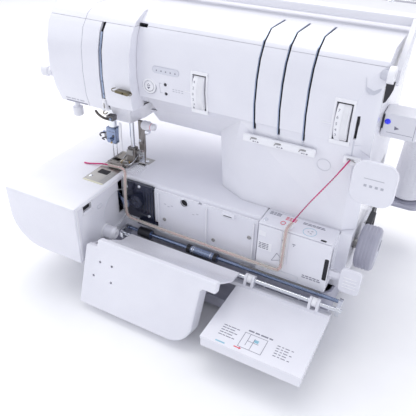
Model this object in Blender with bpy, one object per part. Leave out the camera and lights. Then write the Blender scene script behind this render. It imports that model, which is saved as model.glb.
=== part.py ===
"""Overlock sewing machine (serger), standing on its feet with the looper cover folded open.

Shapes are written in the machine frame, in millimetres: X to the right, Y to the back, Z up, with the
datum at the front left top corner of the sewing bed. At the end the whole machine is moved so that the
world origin is on the table, under the middle of its footprint.
"""

import math

import bmesh
import bpy
from mathutils import Matrix, Vector

MM = 0.001
GAP = 0.3

# Bed
BED_HEIGHT = 120.0
FOOT_HEIGHT = 6.0
BED_BACK = 262.0
CASING_DEPTH = 75.0
WALL = 3.0
FREE_ARM_WIDTH = 101.0
FREE_ARM_CORNER = 40.0
BAY_RIGHT = 282.0
BAY_BACK = 89.7

# Right block, column and arm
BLOCK_FRONT = 80.0
BLOCK_RIGHT = 362.0
BLOCK_DEPTH = 65.0
BODY_RIGHT = 375.0
COLUMN_LEFT = 216.0
COLUMN_CORNER = 249.0
COLUMN_FRONT = 108.0
COLUMN_LEAN = 18.0
BAND_TOP = 105.0
THROAT_HEIGHT = 62.0
ARM_BACK = 232.0
ARM_TOP = 188.0
SEAM_Y = 165.0
SEAM_Z = 176.0

# Head
HEAD_LEFT = 25.0
HEAD_RIGHT = 131.5
HEAD_BOTTOM = 78.0
SLOT_LEFT = 92.5
SLOT_RIGHT = 97.5
NEEDLE_COVER_BOTTOM = 91.0
LOWER_SHELL_BOTTOM = 62.0

# Sewing parts
NEEDLE_X = 76.6
NEEDLE_Y = 109.7
NEEDLE_SPACING = 5.6
NEEDLE_TIP = 4.5
NEEDLE_LENGTH = 23.0
NEEDLE_BAR_RADIUS = 3.2
CLAMP_HEIGHT = 21.0
PRESSER_X = 96.2
PRESSER_Y = 120.0
PRESSER_BAR_RADIUS = 3.0
RUN_CLEARANCE = 0.4

# Drive
SHAFT_Y = 128.0
SHAFT_RADIUS = 5.0
SHAFT_LEFT = 112.0
WHEEL_RADIUS = 24.0
WHEEL_LEFT = 380.0
WHEEL_RIGHT = 400.0
PULLEY_RADIUS = 19.0
PULLEY_LEFT = 340.0
PULLEY_WIDTH = 10.0
MOTOR_Y = 206.0
MOTOR_Z = -36.0
MOTOR_RADIUS = 24.0
MOTOR_PULLEY_RADIUS = 8.0
BELT_THICKNESS = 1.6
BELT_GAP = 0.6
PULLEY_ROOM = 0.8
SHAFT_Z = -(WALL + PULLEY_ROOM + BELT_THICKNESS + BELT_GAP + PULLEY_RADIUS)
FRAME_CLEARANCE = 0.5
FRAME_FOOT_HEIGHT = 9.5
FRAME_FOOT = -BED_HEIGHT + FOOT_HEIGHT + WALL + FRAME_CLEARANCE

# Looper cover
HINGE_Y = 68.0
HINGE_Z = -70.0
HINGE_ROD_RADIUS = 2.5
COVER_ANGLE = 71.0
COVER_SLIDE = 8.0
COVER_LEFT = 101.6
COVER_REAR = 82.0
COVER_FRONT = 0.0
COVER_DEPTH = 20.0
COVER_PANEL_RIGHT = 264.0
COVER_EAR_WIDTH = 17.0
COVER_EAR_FRONT = 70.0
COVER_NOTCH_WIDTH = 14.4
COVER_NOTCH_DEPTH = 9.4
COVER_SKIN = 2.6
CHART_LEFT = 262.0
CHART_RIGHT = 368.0
CHART_LENGTH = 96.0
CHART_LEAN = 18.0
SLEEVE_RADIUS = 5.0
SLEEVE_PLACES = (275.0, 349.0)
SLEEVE_WIDTH = 5.0

# Controls on the front
DIAL_RADIUS = 26.0
DIAL_DEPTH = 20.5
DIAL_WIDTH = 12.0
FRONT_AT_DIALS = 87.3
STITCH_DIAL = (204.6, 123.5)
TENSION_DIAL = (347.6, 125.5)
BUTTON_PLACE = (146.2, 119.3)
BUTTON_RADIUS = 5.4
THREAD_SLITS = (264.0, 289.0, 314.0)
SLIT_WIDTH = 2.4
SLIT_BOTTOM = 97.0

# Spool stand
STAND_FRONT = 266.0
STAND_BACK = 318.0
STAND_RIGHT = 428.0
STAND_LEFT = 40.0
STAND_TOP = -46.0
STAND_THICKNESS = 6.0
PIN_PLACES = (84.0, 148.0, 272.0, 336.0, 404.0)
PIN_Y = 290.0
PIN_RADIUS = 3.0
POLE_X = 210.0
POLE_RADIUS = 5.0
ANTENNA_RADIUS = 3.0
ANTENNA_TOP = 192.0
CONE_HEIGHT = 112.0
CONE_BASE = 21.0
CONE_TIP = 15.0
CONE_BORE = 8.5

# Looper air tube and thread
TUBE_RADIUS = 2.2
TUBE_BORE = 1.5
THREAD_RADIUS = 0.6
PORT = (312.7, 88.0)
PORT_RADIUS = 1.9
TUBE_Y = 76.0

WHITE = (0.86, 0.86, 0.91)
GREY_LAVENDER = (0.55, 0.56, 0.66)
STEEL = (0.56, 0.57, 0.6)
DARK = (0.02, 0.022, 0.04)
RUBBER = (0.03, 0.03, 0.03)
PINK = (0.85, 0.08, 0.35)


# ---------------------------------------------------------------- building blocks


def point(x, y, z):
    """A place in the machine frame, in metres."""
    return Vector((x, y, z)) * MM


def new_object(name, bm):
    """An object made from a bmesh whose normals are turned outwards."""
    bmesh.ops.recalc_face_normals(bm, faces=bm.faces)
    mesh = bpy.data.meshes.new(name)
    bm.to_mesh(mesh)
    bm.free()
    made = bpy.data.objects.new(name, mesh)
    bpy.context.scene.collection.objects.link(made)
    return made


def bridged(name, rings):
    """A closed solid through rings of equal point count, with a cap at each end."""
    bm = bmesh.new()
    loops = [[bm.verts.new(point(*corner)) for corner in ring] for ring in rings]
    count = len(loops[0])
    for near, far in zip(loops, loops[1:]):
        for i in range(count):
            j = (i + 1) % count
            bm.faces.new((near[i], near[j], far[j], far[i]))
    bm.faces.new(loops[0])
    bm.faces.new(loops[-1])
    return new_object(name, bm)


def prism(name, outline, axis, low, high):
    """An outline pushed along one axis. It holds the two other coordinates, in X, Y, Z order."""

    def placed(at):
        if axis == "x":
            return [(at, a, b) for a, b in outline]
        if axis == "y":
            return [(a, at, b) for a, b in outline]
        return [(a, b, at) for a, b in outline]

    return bridged(name, [placed(low), placed(high)])


def block(name, low, high):
    """A box between two corners."""
    outline = [(low[0], low[1]), (high[0], low[1]), (high[0], high[1]), (low[0], high[1])]
    return prism(name, outline, "z", low[2], high[2])


def circle(centre, radius, sides=24, start=0.0, sweep=360.0):
    """Points on a circle or, with a sweep under 360, on an arc with both its ends."""
    steps = sides if sweep == 360.0 else sides + 1
    angles = [math.radians(start + sweep * i / sides) for i in range(steps)]
    return [(centre[0] + radius * math.cos(a), centre[1] + radius * math.sin(a)) for a in angles]


def rod(name, axis, centre, radius, low, high, sides=24):
    """A cylinder along one axis."""
    return prism(name, circle(centre, radius, sides), axis, low, high)


def turned(name, axis, centre, profile, sides=24):
    """A solid of revolution: the profile holds (radius, place along the axis) from end to end."""
    rings = []
    for radius, at in profile:
        ring = circle(centre, radius, sides)
        if axis == "x":
            rings.append([(at, a, b) for a, b in ring])
        elif axis == "y":
            rings.append([(a, at, b) for a, b in ring])
        else:
            rings.append([(a, b, at) for a, b in ring])
    return bridged(name, rings)


def inset(outline, distance):
    """The outline moved inwards by a distance, for an outline that runs either way round."""
    area = sum(a[0] * b[1] - b[0] * a[1] for a, b in zip(outline, outline[1:] + outline[:1]))
    turn = 1.0 if area > 0 else -1.0
    moved = []
    for i, here in enumerate(outline):
        before = Vector(outline[i - 1])
        after = Vector(outline[(i + 1) % len(outline)])
        corner = Vector(here)
        along_in = (corner - before).normalized()
        along_out = (after - corner).normalized()
        normal_in = Vector((-along_in.y, along_in.x)) * turn
        normal_out = Vector((-along_out.y, along_out.x)) * turn
        middle = normal_in + normal_out
        moved.append(tuple(corner + middle * (2 * distance / middle.length_squared)))
    return moved


def rounded_rectangle(low, high, radius, sides=4):
    """A rectangle with round corners."""
    places = (
        ((high[0] - radius, high[1] - radius), 0),
        ((low[0] + radius, high[1] - radius), 90),
        ((low[0] + radius, low[1] + radius), 180),
        ((high[0] - radius, low[1] + radius), 270),
    )
    outline = []
    for centre, start in places:
        outline += circle(centre, radius, sides, start, 90.0)
    return outline


def fixed(made):
    """The object with its modifiers worked into its mesh."""
    graph = bpy.context.evaluated_depsgraph_get()
    mesh = bpy.data.meshes.new_from_object(made.evaluated_get(graph))
    old = made.data
    made.modifiers.clear()
    made.data = mesh
    bpy.data.meshes.remove(old)
    return made


def combined(target, tool, operation):
    """The target with the tool cut away, joined or kept in common, and the tool used up."""
    modifier = target.modifiers.new("cut", "BOOLEAN")
    modifier.operation = operation
    modifier.object = tool
    fixed(target)
    bpy.data.objects.remove(tool)
    return target


def cut(target, *tools):
    for tool in tools:
        combined(target, tool, "DIFFERENCE")
    return target


def joined(target, *tools):
    for tool in tools:
        combined(target, tool, "UNION")
    return target


def common(target, tool):
    return combined(target, tool, "INTERSECT")


def bevelled(made, width, segments=2, angle=40.0):
    """The object with its sharp edges rounded."""
    modifier = made.modifiers.new("edge", "BEVEL")
    modifier.width = width * MM
    modifier.segments = segments
    modifier.limit_method = "ANGLE"
    modifier.angle_limit = math.radians(angle)
    return fixed(made)


def copied(made, name):
    other = made.copy()
    other.data = made.data.copy()
    other.name = name
    bpy.context.scene.collection.objects.link(other)
    return other


def finished(made, name, colour, roughness=0.4, metallic=0.0, origin=None):
    """Names the object, gives it its material and smooth shading, and puts its origin on its joint."""
    made.name = name
    made.data.name = name
    if origin is not None:
        place = point(*origin)
        made.data.transform(Matrix.Translation(-place))
        made.location = place
    material = bpy.data.materials.new(name)
    material.use_nodes = True
    shader = material.node_tree.nodes["Principled BSDF"]
    shader.inputs["Base Color"].default_value = (*colour, 1.0)
    shader.inputs["Roughness"].default_value = roughness
    shader.inputs["Metallic"].default_value = metallic
    if made.type == "MESH":
        made.data.materials.clear()
        made.data.materials.append(material)
        made.data.shade_smooth()
        made.data.set_sharp_from_angle(angle=math.radians(35))
    return made


# ---------------------------------------------------------------- base and bed


def make_base():
    """The base tray with its open top, and the four feet under it."""
    low, high = (46.0, 52.0), (368.0, 254.0)
    bottom = -BED_HEIGHT + FOOT_HEIGHT
    top = -CASING_DEPTH - GAP
    tower = (low[0], BAY_BACK + 2.0)
    tray = prism("tray", rounded_rectangle(low, high, 12.0), "z", bottom, bottom + 14.0)
    joined(tray, prism("tower", rounded_rectangle(tower, high, 12.0), "z", bottom + 1.0, top))
    bevelled(tray, 2.0)
    inner = rounded_rectangle((low[0] + WALL, tower[1] + WALL), (high[0] - WALL, high[1] - WALL), 9.0)
    cut(tray, prism("inner", inner, "z", bottom + WALL, top + 1.0))
    finished(tray, "base_tray", GREY_LAVENDER, 0.5)
    places = [(66.0, 72.0), (348.0, 72.0), (66.0, 234.0), (348.0, 234.0)]
    for number, centre in enumerate(places, 1):
        table = -BED_HEIGHT
        profile = [(10.0, table), (11.0, table + 1.0), (9.0, bottom - GAP)]
        foot = turned("foot", "z", centre, profile, 16)
        finished(foot, f"rubber_foot_{number}", RUBBER, 0.9)


def needle_plate_outline():
    return [(66.0, 58.0), (95.0, 58.0), (95.0, 119.5), (115.0, 124.5), (116.0, 138.0), (66.0, 138.0)]


def bed_outline():
    return [
        (0.0, 0.0),
        (FREE_ARM_WIDTH, 0.0),
        (FREE_ARM_WIDTH, BAY_BACK),
        (BAY_RIGHT - GAP, BAY_BACK),
        (BAY_RIGHT - GAP, BED_BACK),
        (0.0, BED_BACK),
    ]


def corner_waste(radius):
    """What the rounded lower left edge of the bed casing leaves out."""
    centre = (FREE_ARM_CORNER, -CASING_DEPTH + FREE_ARM_CORNER)
    arc = circle(centre, radius, 10, 180.0, 90.0)
    outline = [(-2.0, centre[1]), *arc, (centre[0], -CASING_DEPTH - 2.0), (-2.0, -CASING_DEPTH - 2.0)]
    return prism("waste", outline, "y", -5.0, BED_BACK + 5.0)


def make_bed_casing():
    """The left block and the bed behind the bay, one thin shell that is open below and to the right."""
    shell = cut(prism("shell", bed_outline(), "z", -CASING_DEPTH, 0.0), corner_waste(FREE_ARM_CORNER))
    bevelled(shell, 2.5, 2)
    hollow = prism("hollow", inset(bed_outline(), WALL), "z", -CASING_DEPTH + WALL, -WALL)
    cut(shell, cut(hollow, corner_waste(FREE_ARM_CORNER - WALL)))
    cut(
        shell,
        block("floor", (62, 100, -80), (274, 252, -70)),
        block("side", (274, 100, -68), (290, 252, -6)),
        block("under_column", (224, 133, -10), (290, 228, 2)),
        block("looper_way", (96, 78, -50), (103, 88.6, -5)),
        block("latch_hole", (96, 14, -12), (103, 28, -2)),
        block("knife_way", (102, 117.2, -10), (113.4, 123, 2)),
        prism("plate_seat", inset(needle_plate_outline(), -GAP), "z", -2.3, 2.0),
        prism("plate_way", rounded_rectangle((69.5, 98), (92, 134), 2.0), "z", -10, 2.0),
        rod("recess", "x", (72.0, -40.0), 24.0, FREE_ARM_WIDTH - 1.2, FREE_ARM_WIDTH + 3, 32),
    )
    boss = turned("boss", "x", (48.0, -57.0), [(8.0, 98.5), (8.0, 114.0), (6.5, 116.0)], 20)
    joined(shell, boss)
    finished(shell, "bed_casing", WHITE, 0.3)


def make_bay_back():
    """The white plate at the back of the looper bay, with its bore and its catch."""
    plate = block("plate", (147.0, BAY_BACK - 2.9, -66.0), (BAY_RIGHT - 3.0, BAY_BACK - GAP, -5.0))
    catch = bevelled(block("catch", (236.0, 83.0, -11.0), (252.0, 88.0, -5.5)), 1.0)
    joined(plate, catch)
    cut(
        plate,
        rod("bore", "y", (187.5, -11.6), 4.5, 80.0, 95.0, 20),
        block("slot", (239.0, 80.0, -9.4), (249.0, 85.0, -8.0)),
        block("foot_way", (140.0, 80.0, -58.0), (151.0, 95.0, -51.5)),
        block("lug", (206.0, 80.0, -8.0), (210.0, 95.0, -2.0)),
    )
    finished(plate, "looper_bay_plate", WHITE, 0.35)


def make_right_block():
    """The lower right body: the bay's end block in front, and the drive's housing behind it."""
    outline = [
        (BAY_RIGHT, BLOCK_FRONT),
        (BLOCK_RIGHT, BLOCK_FRONT),
        (BLOCK_RIGHT, 104.0),
        (BODY_RIGHT, 104.0),
        (BODY_RIGHT, BED_BACK),
        (BAY_RIGHT, BED_BACK),
    ]
    body = prism("body", outline, "z", -CASING_DEPTH, 0.0)
    cut(body, block("under", (270, 70, -80), (390, COLUMN_FRONT - GAP, -BLOCK_DEPTH)))
    bevelled(body, 1.6, 2)
    cut(
        body,
        block("seat", (270, 70, -2.6), (BLOCK_RIGHT + 1, COLUMN_FRONT - GAP, 5)),
        block(
            "front_room",
            (BAY_RIGHT + WALL, BLOCK_FRONT + WALL, -BLOCK_DEPTH + WALL),
            (BLOCK_RIGHT - WALL, COLUMN_FRONT + 4, -2.6 - WALL),
        ),
        block("rear_room", (270, 111, -CASING_DEPTH + WALL), (BODY_RIGHT - WALL, BED_BACK - WALL, -WALL)),
        block("floor", (292, 150, -80), (364, 250, -70)),
        block("under_column", (270, 133, -10), (368, 228, 2)),
        rod("shaft_way", "x", (SHAFT_Y, SHAFT_Z), SHAFT_RADIUS + 2, 360, 390, 20),
        rod("port", "z", PORT, PORT_RADIUS, -10, 5, 16),
        block("lever_way", (356, 84, -50), (366, 92, -10)),
    )
    finished(body, "right_block", WHITE, 0.32)


def make_threading_panel():
    """The thin top panel over the right block, with the looper threading port."""
    panel = block("panel", (BAY_RIGHT, BLOCK_FRONT, -2.3), (BLOCK_RIGHT, COLUMN_FRONT - 2 * GAP, 0.0))
    bevelled(panel, 0.8, 1)
    cut(panel, rod("port", "z", PORT, PORT_RADIUS, -10, 5, 16))
    finished(panel, "threading_panel", WHITE, 0.3)


# ---------------------------------------------------------------- arm, column and head


def arm_profile():
    """The arm from the side: the slanted band below, the front that curls back, and the flat back."""
    return [
        (126.8, THROAT_HEIGHT),
        (90.0, BAND_TOP),
        (87.0, 125.0),
        (88.0, 148.0),
        (92.0, 166.0),
        (100.0, 180.0),
        (113.0, ARM_TOP),
        (212.0, ARM_TOP),
        (226.0, 182.0),
        (ARM_BACK, 168.0),
        (ARM_BACK, THROAT_HEIGHT),
    ]


def head_profile():
    return [
        (112.0, HEAD_BOTTOM),
        (79.0, 84.0),
        (75.0, 100.0),
        (74.0, 125.0),
        (76.0, 150.0),
        (82.0, 169.0),
        (92.0, 181.0),
        (106.0, ARM_TOP),
        (212.0, ARM_TOP),
        (226.0, 182.0),
        (ARM_BACK, 168.0),
        (ARM_BACK, HEAD_BOTTOM),
    ]


def column_ring(height, lean, wall):
    """The column's outline at a height, moved inwards by a wall."""
    outline = [
        (COLUMN_LEFT, 126.8 - lean * 0.8),
        (COLUMN_CORNER, COLUMN_FRONT + 2 - lean),
        (BLOCK_RIGHT, COLUMN_FRONT - lean),
        (BODY_RIGHT, COLUMN_FRONT + 10 - lean),
        (BODY_RIGHT, ARM_BACK),
        (COLUMN_LEFT, ARM_BACK),
    ]
    return [(x, y, height) for x, y in inset(outline, wall)]


def upper_body(wall):
    """The arm, head and column as one solid, inset by a wall."""
    arm = prism("arm", inset(arm_profile(), wall), "x", HEAD_RIGHT - 12, BODY_RIGHT - wall)
    slope = (BODY_RIGHT - BLOCK_RIGHT) / 10.0
    offset = wall * 1.27
    corner = [
        (BLOCK_RIGHT - 12 * slope, 80.8 - 0.03 + offset),
        (BODY_RIGHT + 10 * slope, 107.7 + offset),
        (BODY_RIGHT + 10 * slope, 70.0),
        (BLOCK_RIGHT - 12 * slope, 70.0),
    ]
    cut(arm, prism("corner", corner, "z", 40, 220))
    head = prism("head", inset(head_profile(), wall), "x", HEAD_LEFT + wall, HEAD_RIGHT - wall)
    left = HEAD_LEFT
    side = [(left - 8, 122 + wall), (left + wall, 121), (left + 9 + wall, 70), (left - 8, 70)]
    cut(head, prism("side", side, "y", 50, 250))
    bottom = GAP - wall * 2
    lean = COLUMN_LEAN * bottom / BAND_TOP
    column = bridged("column", [column_ring(bottom, lean, wall), column_ring(BAND_TOP, COLUMN_LEAN, wall)])
    if wall:
        way = [(97.0, 82.0), (97.0, 178.0), (228.0, 178.0), (228.0, 82.0)]
        joined(head, prism("way", way, "x", HEAD_RIGHT - 11, HEAD_RIGHT + 9))
    return joined(arm, head, column)


def make_upper_casings():
    """The upper body's shell, parted into the covers that it is moulded in."""
    whole = upper_body(0.0)
    cut(whole, upper_body(WALL))
    cut(whole, block("bar_way", (60, 94, 60), (128, 152, 86)))
    for centre in (STITCH_DIAL, TENSION_DIAL):
        half = DIAL_WIDTH / 2 + 1.2
        axle = (FRONT_AT_DIALS + DIAL_DEPTH, centre[1])
        cut(whole, rod("dial", "x", axle, DIAL_RADIUS + 1.0, centre[0] - half, centre[0] + half, 40))
    cut(whole, rod("button", "y", BUTTON_PLACE, BUTTON_RADIUS + GAP, 70, 96, 20))
    for place in THREAD_SLITS:
        half = SLIT_WIDTH / 2
        cut(whole, block("slit", (place - half, 70, SLIT_BOTTOM), (place + half, 150, 200)))
    cut(whole, block("slit", (359.2, 70, 111), (361.6, 110, 133)))
    far = 600.0
    near = SEAM_Y - GAP / 2
    below = SEAM_Z - GAP / 2
    parts = {
        "face_cover": ((-50, 0, 0), (SLOT_LEFT, near, below)),
        "needle_cover": ((SLOT_RIGHT, 0, NEEDLE_COVER_BOTTOM + GAP), (HEAD_RIGHT - GAP / 2, near, below)),
        "front_casing": ((HEAD_RIGHT + GAP / 2, 0, GAP), (far, near, below)),
        "rear_casing": ((-50, near + GAP, GAP), (far, far, below)),
        "top_cover": ((-50, 0, below + GAP), (far, far, far)),
    }
    for name, (low, high) in parts.items():
        piece = common(copied(whole, name), block("region", low, high))
        if name == "face_cover":
            cut(piece, rod("knob_way", "z", (47.0, 86.0), 3.2, 70, 100, 16))
            cut(piece, rod("lever_way", "x", (112.0, 112.0), 4.4, 10, 40, 16))
        finished(piece, name, WHITE, 0.28)
    bpy.data.objects.remove(whole)


def shell_ring(share, wall):
    """The head's lower shell at a share of the way up from its bottom."""
    bottom = [(87.0, 102.0), (108.0, 102.5), (113.0, 126.0), (113.0, 150.0), (87.0, 150.0)]
    top = [(98.2, 78.5), (128.5, 77.0), (131.2, 93.0), (131.2, 150.0), (98.2, 150.0)]
    ring = [tuple(Vector(a).lerp(Vector(b), share)) for a, b in zip(bottom, top)]
    height = LOWER_SHELL_BOTTOM + share * (NEEDLE_COVER_BOTTOM - GAP / 2 - LOWER_SHELL_BOTTOM)
    return [(x, y, height) for x, y in inset(ring, wall)]


def make_lower_shell():
    """The faceted shell around the needle and presser bars, open above and below."""
    shell = bridged("shell", [shell_ring(0.0, 0.0), shell_ring(1.0, 0.0)])
    bevelled(shell, 1.2, 2)
    cut(shell, bridged("hollow", [shell_ring(-0.2, 2.6), shell_ring(1.2, 2.6)]))
    cut(shell, block("bar_way", (80, PRESSER_Y - 6, 55), (PRESSER_X + 5, PRESSER_Y + 6, 100)))
    finished(shell, "head_lower_shell", WHITE, 0.3)


# ---------------------------------------------------------------- inner frame and drive


def make_frame_casting():
    """The metal frame: a foot in the tray, a post up the column and a beam along the arm to the bars."""
    foot_top = FRAME_FOOT + FRAME_FOOT_HEIGHT
    foot = block("foot", (70, 150, FRAME_FOOT), (350, 236, foot_top))
    post = block("post", (226, 152, foot_top - 1), (262, 214, 131))
    beam = block("beam", (60, 168, 116), (262, 196, 140))
    bracket = block("bracket", (64, 102, 122), (112, 172, 136))
    frame = joined(foot, post, beam, bracket)
    cut(
        frame,
        rod("bar", "z", (NEEDLE_X, NEEDLE_Y), NEEDLE_BAR_RADIUS + RUN_CLEARANCE, 110, 150, 20),
        rod("bar", "z", (PRESSER_X, PRESSER_Y), PRESSER_BAR_RADIUS + RUN_CLEARANCE, 110, 150, 20),
    )
    finished(frame, "frame_casting", STEEL, 0.5, 1.0)


def make_drive():
    """The main shaft with its hand wheel and pulley, and the motor that drives it through a belt."""
    centre = (SHAFT_Y, SHAFT_Z)
    origin = (WHEEL_LEFT, SHAFT_Y, SHAFT_Z)
    right = PULLEY_LEFT + PULLEY_WIDTH
    shaft = rod("shaft", "x", centre, SHAFT_RADIUS, SHAFT_LEFT, WHEEL_RIGHT - 8, 20)
    joined(shaft, rod("pulley", "x", centre, PULLEY_RADIUS, PULLEY_LEFT, right, 28))
    finished(shaft, "main_shaft", STEEL, 0.3, 1.0, origin)
    rim = WHEEL_RADIUS
    profile = [
        (rim - 3, WHEEL_LEFT),
        (rim, WHEEL_LEFT + 2),
        (rim, WHEEL_RIGHT - 2.5),
        (rim - 2.5, WHEEL_RIGHT),
        (rim - 9, WHEEL_RIGHT),
    ]
    wheel = turned("wheel", "x", centre, profile, 40)
    bore = SHAFT_RADIUS + GAP
    cut(wheel, rod("bore", "x", centre, bore, WHEEL_LEFT - 5, WHEEL_RIGHT - 7, 20))
    finished(wheel, "hand_wheel", GREY_LAVENDER, 0.35, 0.0, origin)
    motor_centre = (MOTOR_Y, MOTOR_Z)
    body_right = PULLEY_LEFT - 6
    profile = [(MOTOR_RADIUS - 2, 268), (MOTOR_RADIUS, 270), (MOTOR_RADIUS, body_right - 2), (14, body_right)]
    motor = turned("motor", "x", motor_centre, profile, 28)
    joined(motor, rod("spindle", "x", motor_centre, 3.0, body_right - 4, right - 1, 16))
    finished(motor, "motor", DARK, 0.4, 0.6)
    small = rod("small", "x", motor_centre, MOTOR_PULLEY_RADIUS, PULLEY_LEFT, right, 20)
    cut(small, rod("bore", "x", motor_centre, 3.0 + GAP, PULLEY_LEFT - 5, right + 5, 16))
    finished(small, "motor_pulley", STEEL, 0.4, 1.0, (PULLEY_LEFT, MOTOR_Y, MOTOR_Z))
    make_belt()


def belt_outline(extra):
    """The stretched loop round both pulleys, at a distance outside them."""
    big, small = PULLEY_RADIUS + extra, MOTOR_PULLEY_RADIUS + extra
    reach = math.hypot(MOTOR_Y - SHAFT_Y, MOTOR_Z - SHAFT_Z)
    line = math.degrees(math.atan2(MOTOR_Z - SHAFT_Z, MOTOR_Y - SHAFT_Y))
    tangent = math.degrees(math.acos((big - small) / reach))
    arc_big = circle((SHAFT_Y, SHAFT_Z), big, 16, line + tangent, 360 - 2 * tangent)
    arc_small = circle((MOTOR_Y, MOTOR_Z), small, 10, line - tangent, 2 * tangent)
    return arc_big + arc_small


def make_belt():
    margin = 1.5
    left, right = PULLEY_LEFT + margin, PULLEY_LEFT + PULLEY_WIDTH - margin
    belt = prism("belt", belt_outline(BELT_GAP + BELT_THICKNESS), "x", left, right)
    cut(belt, prism("inside", belt_outline(BELT_GAP), "x", left - 2, right + 2))
    finished(belt, "drive_belt", RUBBER, 0.8)


# ---------------------------------------------------------------- sewing parts


def make_needle_parts():
    """The needle bar with its clamp and two needles."""
    clamp_bottom = NEEDLE_TIP + NEEDLE_LENGTH
    clamp_top = clamp_bottom + CLAMP_HEIGHT
    origin = (NEEDLE_X, NEEDLE_Y, clamp_bottom)
    bar = rod("bar", "z", (NEEDLE_X, NEEDLE_Y), NEEDLE_BAR_RADIUS, clamp_top + GAP, 156.0, 20)
    finished(bar, "needle_bar", STEEL, 0.2, 1.0, origin)
    low = (NEEDLE_X - 7.5, NEEDLE_Y - 6, clamp_bottom + GAP)
    high = (NEEDLE_X + 6.5, NEEDLE_Y + 6, clamp_top)
    clamp = bevelled(block("clamp", low, high), 2.0)
    screw = rod("screw", "y", (NEEDLE_X + 1, clamp_bottom + 7), 2.6, NEEDLE_Y - 11, NEEDLE_Y - 4, 14)
    hook = rod("hook", "x", (NEEDLE_Y - 2, clamp_bottom + 11), 2.0, NEEDLE_X - 14, NEEDLE_X - 5, 12)
    joined(clamp, screw, hook)
    finished(clamp, "needle_clamp", STEEL, 0.35, 1.0, origin)
    for side, name in ((-0.5, "left_needle"), (0.5, "right_needle")):
        x = NEEDLE_X + side * NEEDLE_SPACING
        profile = [(0.15, NEEDLE_TIP), (0.55, NEEDLE_TIP + 3), (0.6, clamp_bottom - 7), (1.0, clamp_bottom)]
        needle = turned("needle", "z", (x, NEEDLE_Y), profile, 10)
        finished(needle, name, STEEL, 0.15, 1.0, origin)


def make_presser_parts():
    """The presser bar and the foot on its ankle."""
    origin = (PRESSER_X, PRESSER_Y, 0.0)
    bar = rod("bar", "z", (PRESSER_X, PRESSER_Y), PRESSER_BAR_RADIUS, 22.0 + GAP, 150.0, 20)
    finished(bar, "presser_bar", STEEL, 0.2, 1.0, origin)
    outline = [(68, 1.0), (70, 4.0), (97, 4.0), (98.5, 1.0)]
    sole = bevelled(prism("sole", outline, "y", 102.5, 130.0), 0.6, 1)
    toe = prism("toe", [(98.4, 3.8), (103.5, 1.2), (103.5, 3.8), (99.2, 6.6)], "x", 72.0, 94.0)
    ankle = [(112.0, 3.0), (124.0, 3.0), (126.0, 14.0), (124.5, 22.0), (115.5, 22.0), (114.5, 12.0)]
    ankle = bevelled(prism("ankle", ankle, "x", 90.5, 101.0), 1.0, 1)
    screw = rod("screw", "x", (PRESSER_Y, 16.0), 3.4, 100.0, 103.4, 16)
    joined(sole, toe, ankle, screw)
    slot = rounded_rectangle((NEEDLE_X - 6, NEEDLE_Y - 3), (NEEDLE_X + 6, NEEDLE_Y + 4), 2.0)
    cut(sole, prism("slot", slot, "z", -2, 10))
    finished(sole, "presser_foot", STEEL, 0.35, 1.0, origin)
    plate = prism("plate", needle_plate_outline(), "z", -2.0, 0.0)
    slot = rounded_rectangle((NEEDLE_X - 6, NEEDLE_Y - 2), (NEEDLE_X + 6, NEEDLE_Y + 3), 1.5)
    cut(plate, prism("slot", slot, "z", -5, 2))
    for x in (NEEDLE_X - 3, NEEDLE_X + 6):
        cut(plate, block("feed_way", (x - 2.2, 116, -5), (x + 2.2, 132, 2)))
    finished(plate, "needle_plate", STEEL, 0.35, 1.0)
    bars = block("carrier", (70.5, 114.5, -12), (86, 130.5, -5))
    for x in (NEEDLE_X - 3, NEEDLE_X + 6):
        teeth = [(118.0, -6.0), (118.0, -0.6)]
        for i in range(4):
            teeth += [(119.0 + 3 * i, 0.4), (120.5 + 3 * i, -0.6)]
        teeth += [(129.5, -6.0)]
        joined(bars, prism("teeth", teeth, "x", x - 1.6, x + 1.6))
    finished(bars, "feed_dog", STEEL, 0.4, 1.0)


def make_knives():
    """The upper knife on its holder, the fixed lower knife, and the knob that sets the cutting width."""
    holder = [(121.5, 58.0), (124.5, 58.0), (124.5, 20.0), (122.0, 3.0), (121.0, 3.0), (121.5, 20.0)]
    knife = bevelled(prism("holder", holder, "x", 104.0, 112.5), 0.5, 1)
    finished(knife, "upper_knife", STEEL, 0.4, 1.0, (108.0, 123.0, 30.0))
    low = block("blade", (103.0, 117.8, -22.0), (112.0, 120.4, -0.4))
    finished(low, "lower_knife", STEEL, 0.25, 1.0)
    profile = [(4.6, 114.5), (5.0, 115.5), (5.0, 124.0), (4.2, 125.0), (4.2, 131.0)]
    knob = turned("knob", "x", (116.8, 56.6), profile, 18)
    finished(knob, "cutting_width_knob", WHITE, 0.4, 0.0, (120.0, 116.8, 56.6))


def looper_blade(pivot, tip, width, bow, low, high):
    """A curved blade from its hub to its point, in the plane across the bed."""
    start, end = Vector(pivot), Vector(tip)
    side = Vector((-(end - start).y, (end - start).x)).normalized()
    near, far = [], []
    steps = 8
    for i in range(steps + 1):
        share = i / steps
        middle = start.lerp(end, share) + side * bow * math.sin(math.pi * share)
        half = side * (width * (1 - 0.85 * share) / 2)
        near.append(tuple(middle + half))
        far.append(tuple(middle - half))
    blade = prism("blade", near + far[::-1], "y", low, high)
    hub = rod("hub", "y", pivot, width * 0.9, low - 0.8, high + 0.8, 18)
    return joined(hub, blade)


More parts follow.
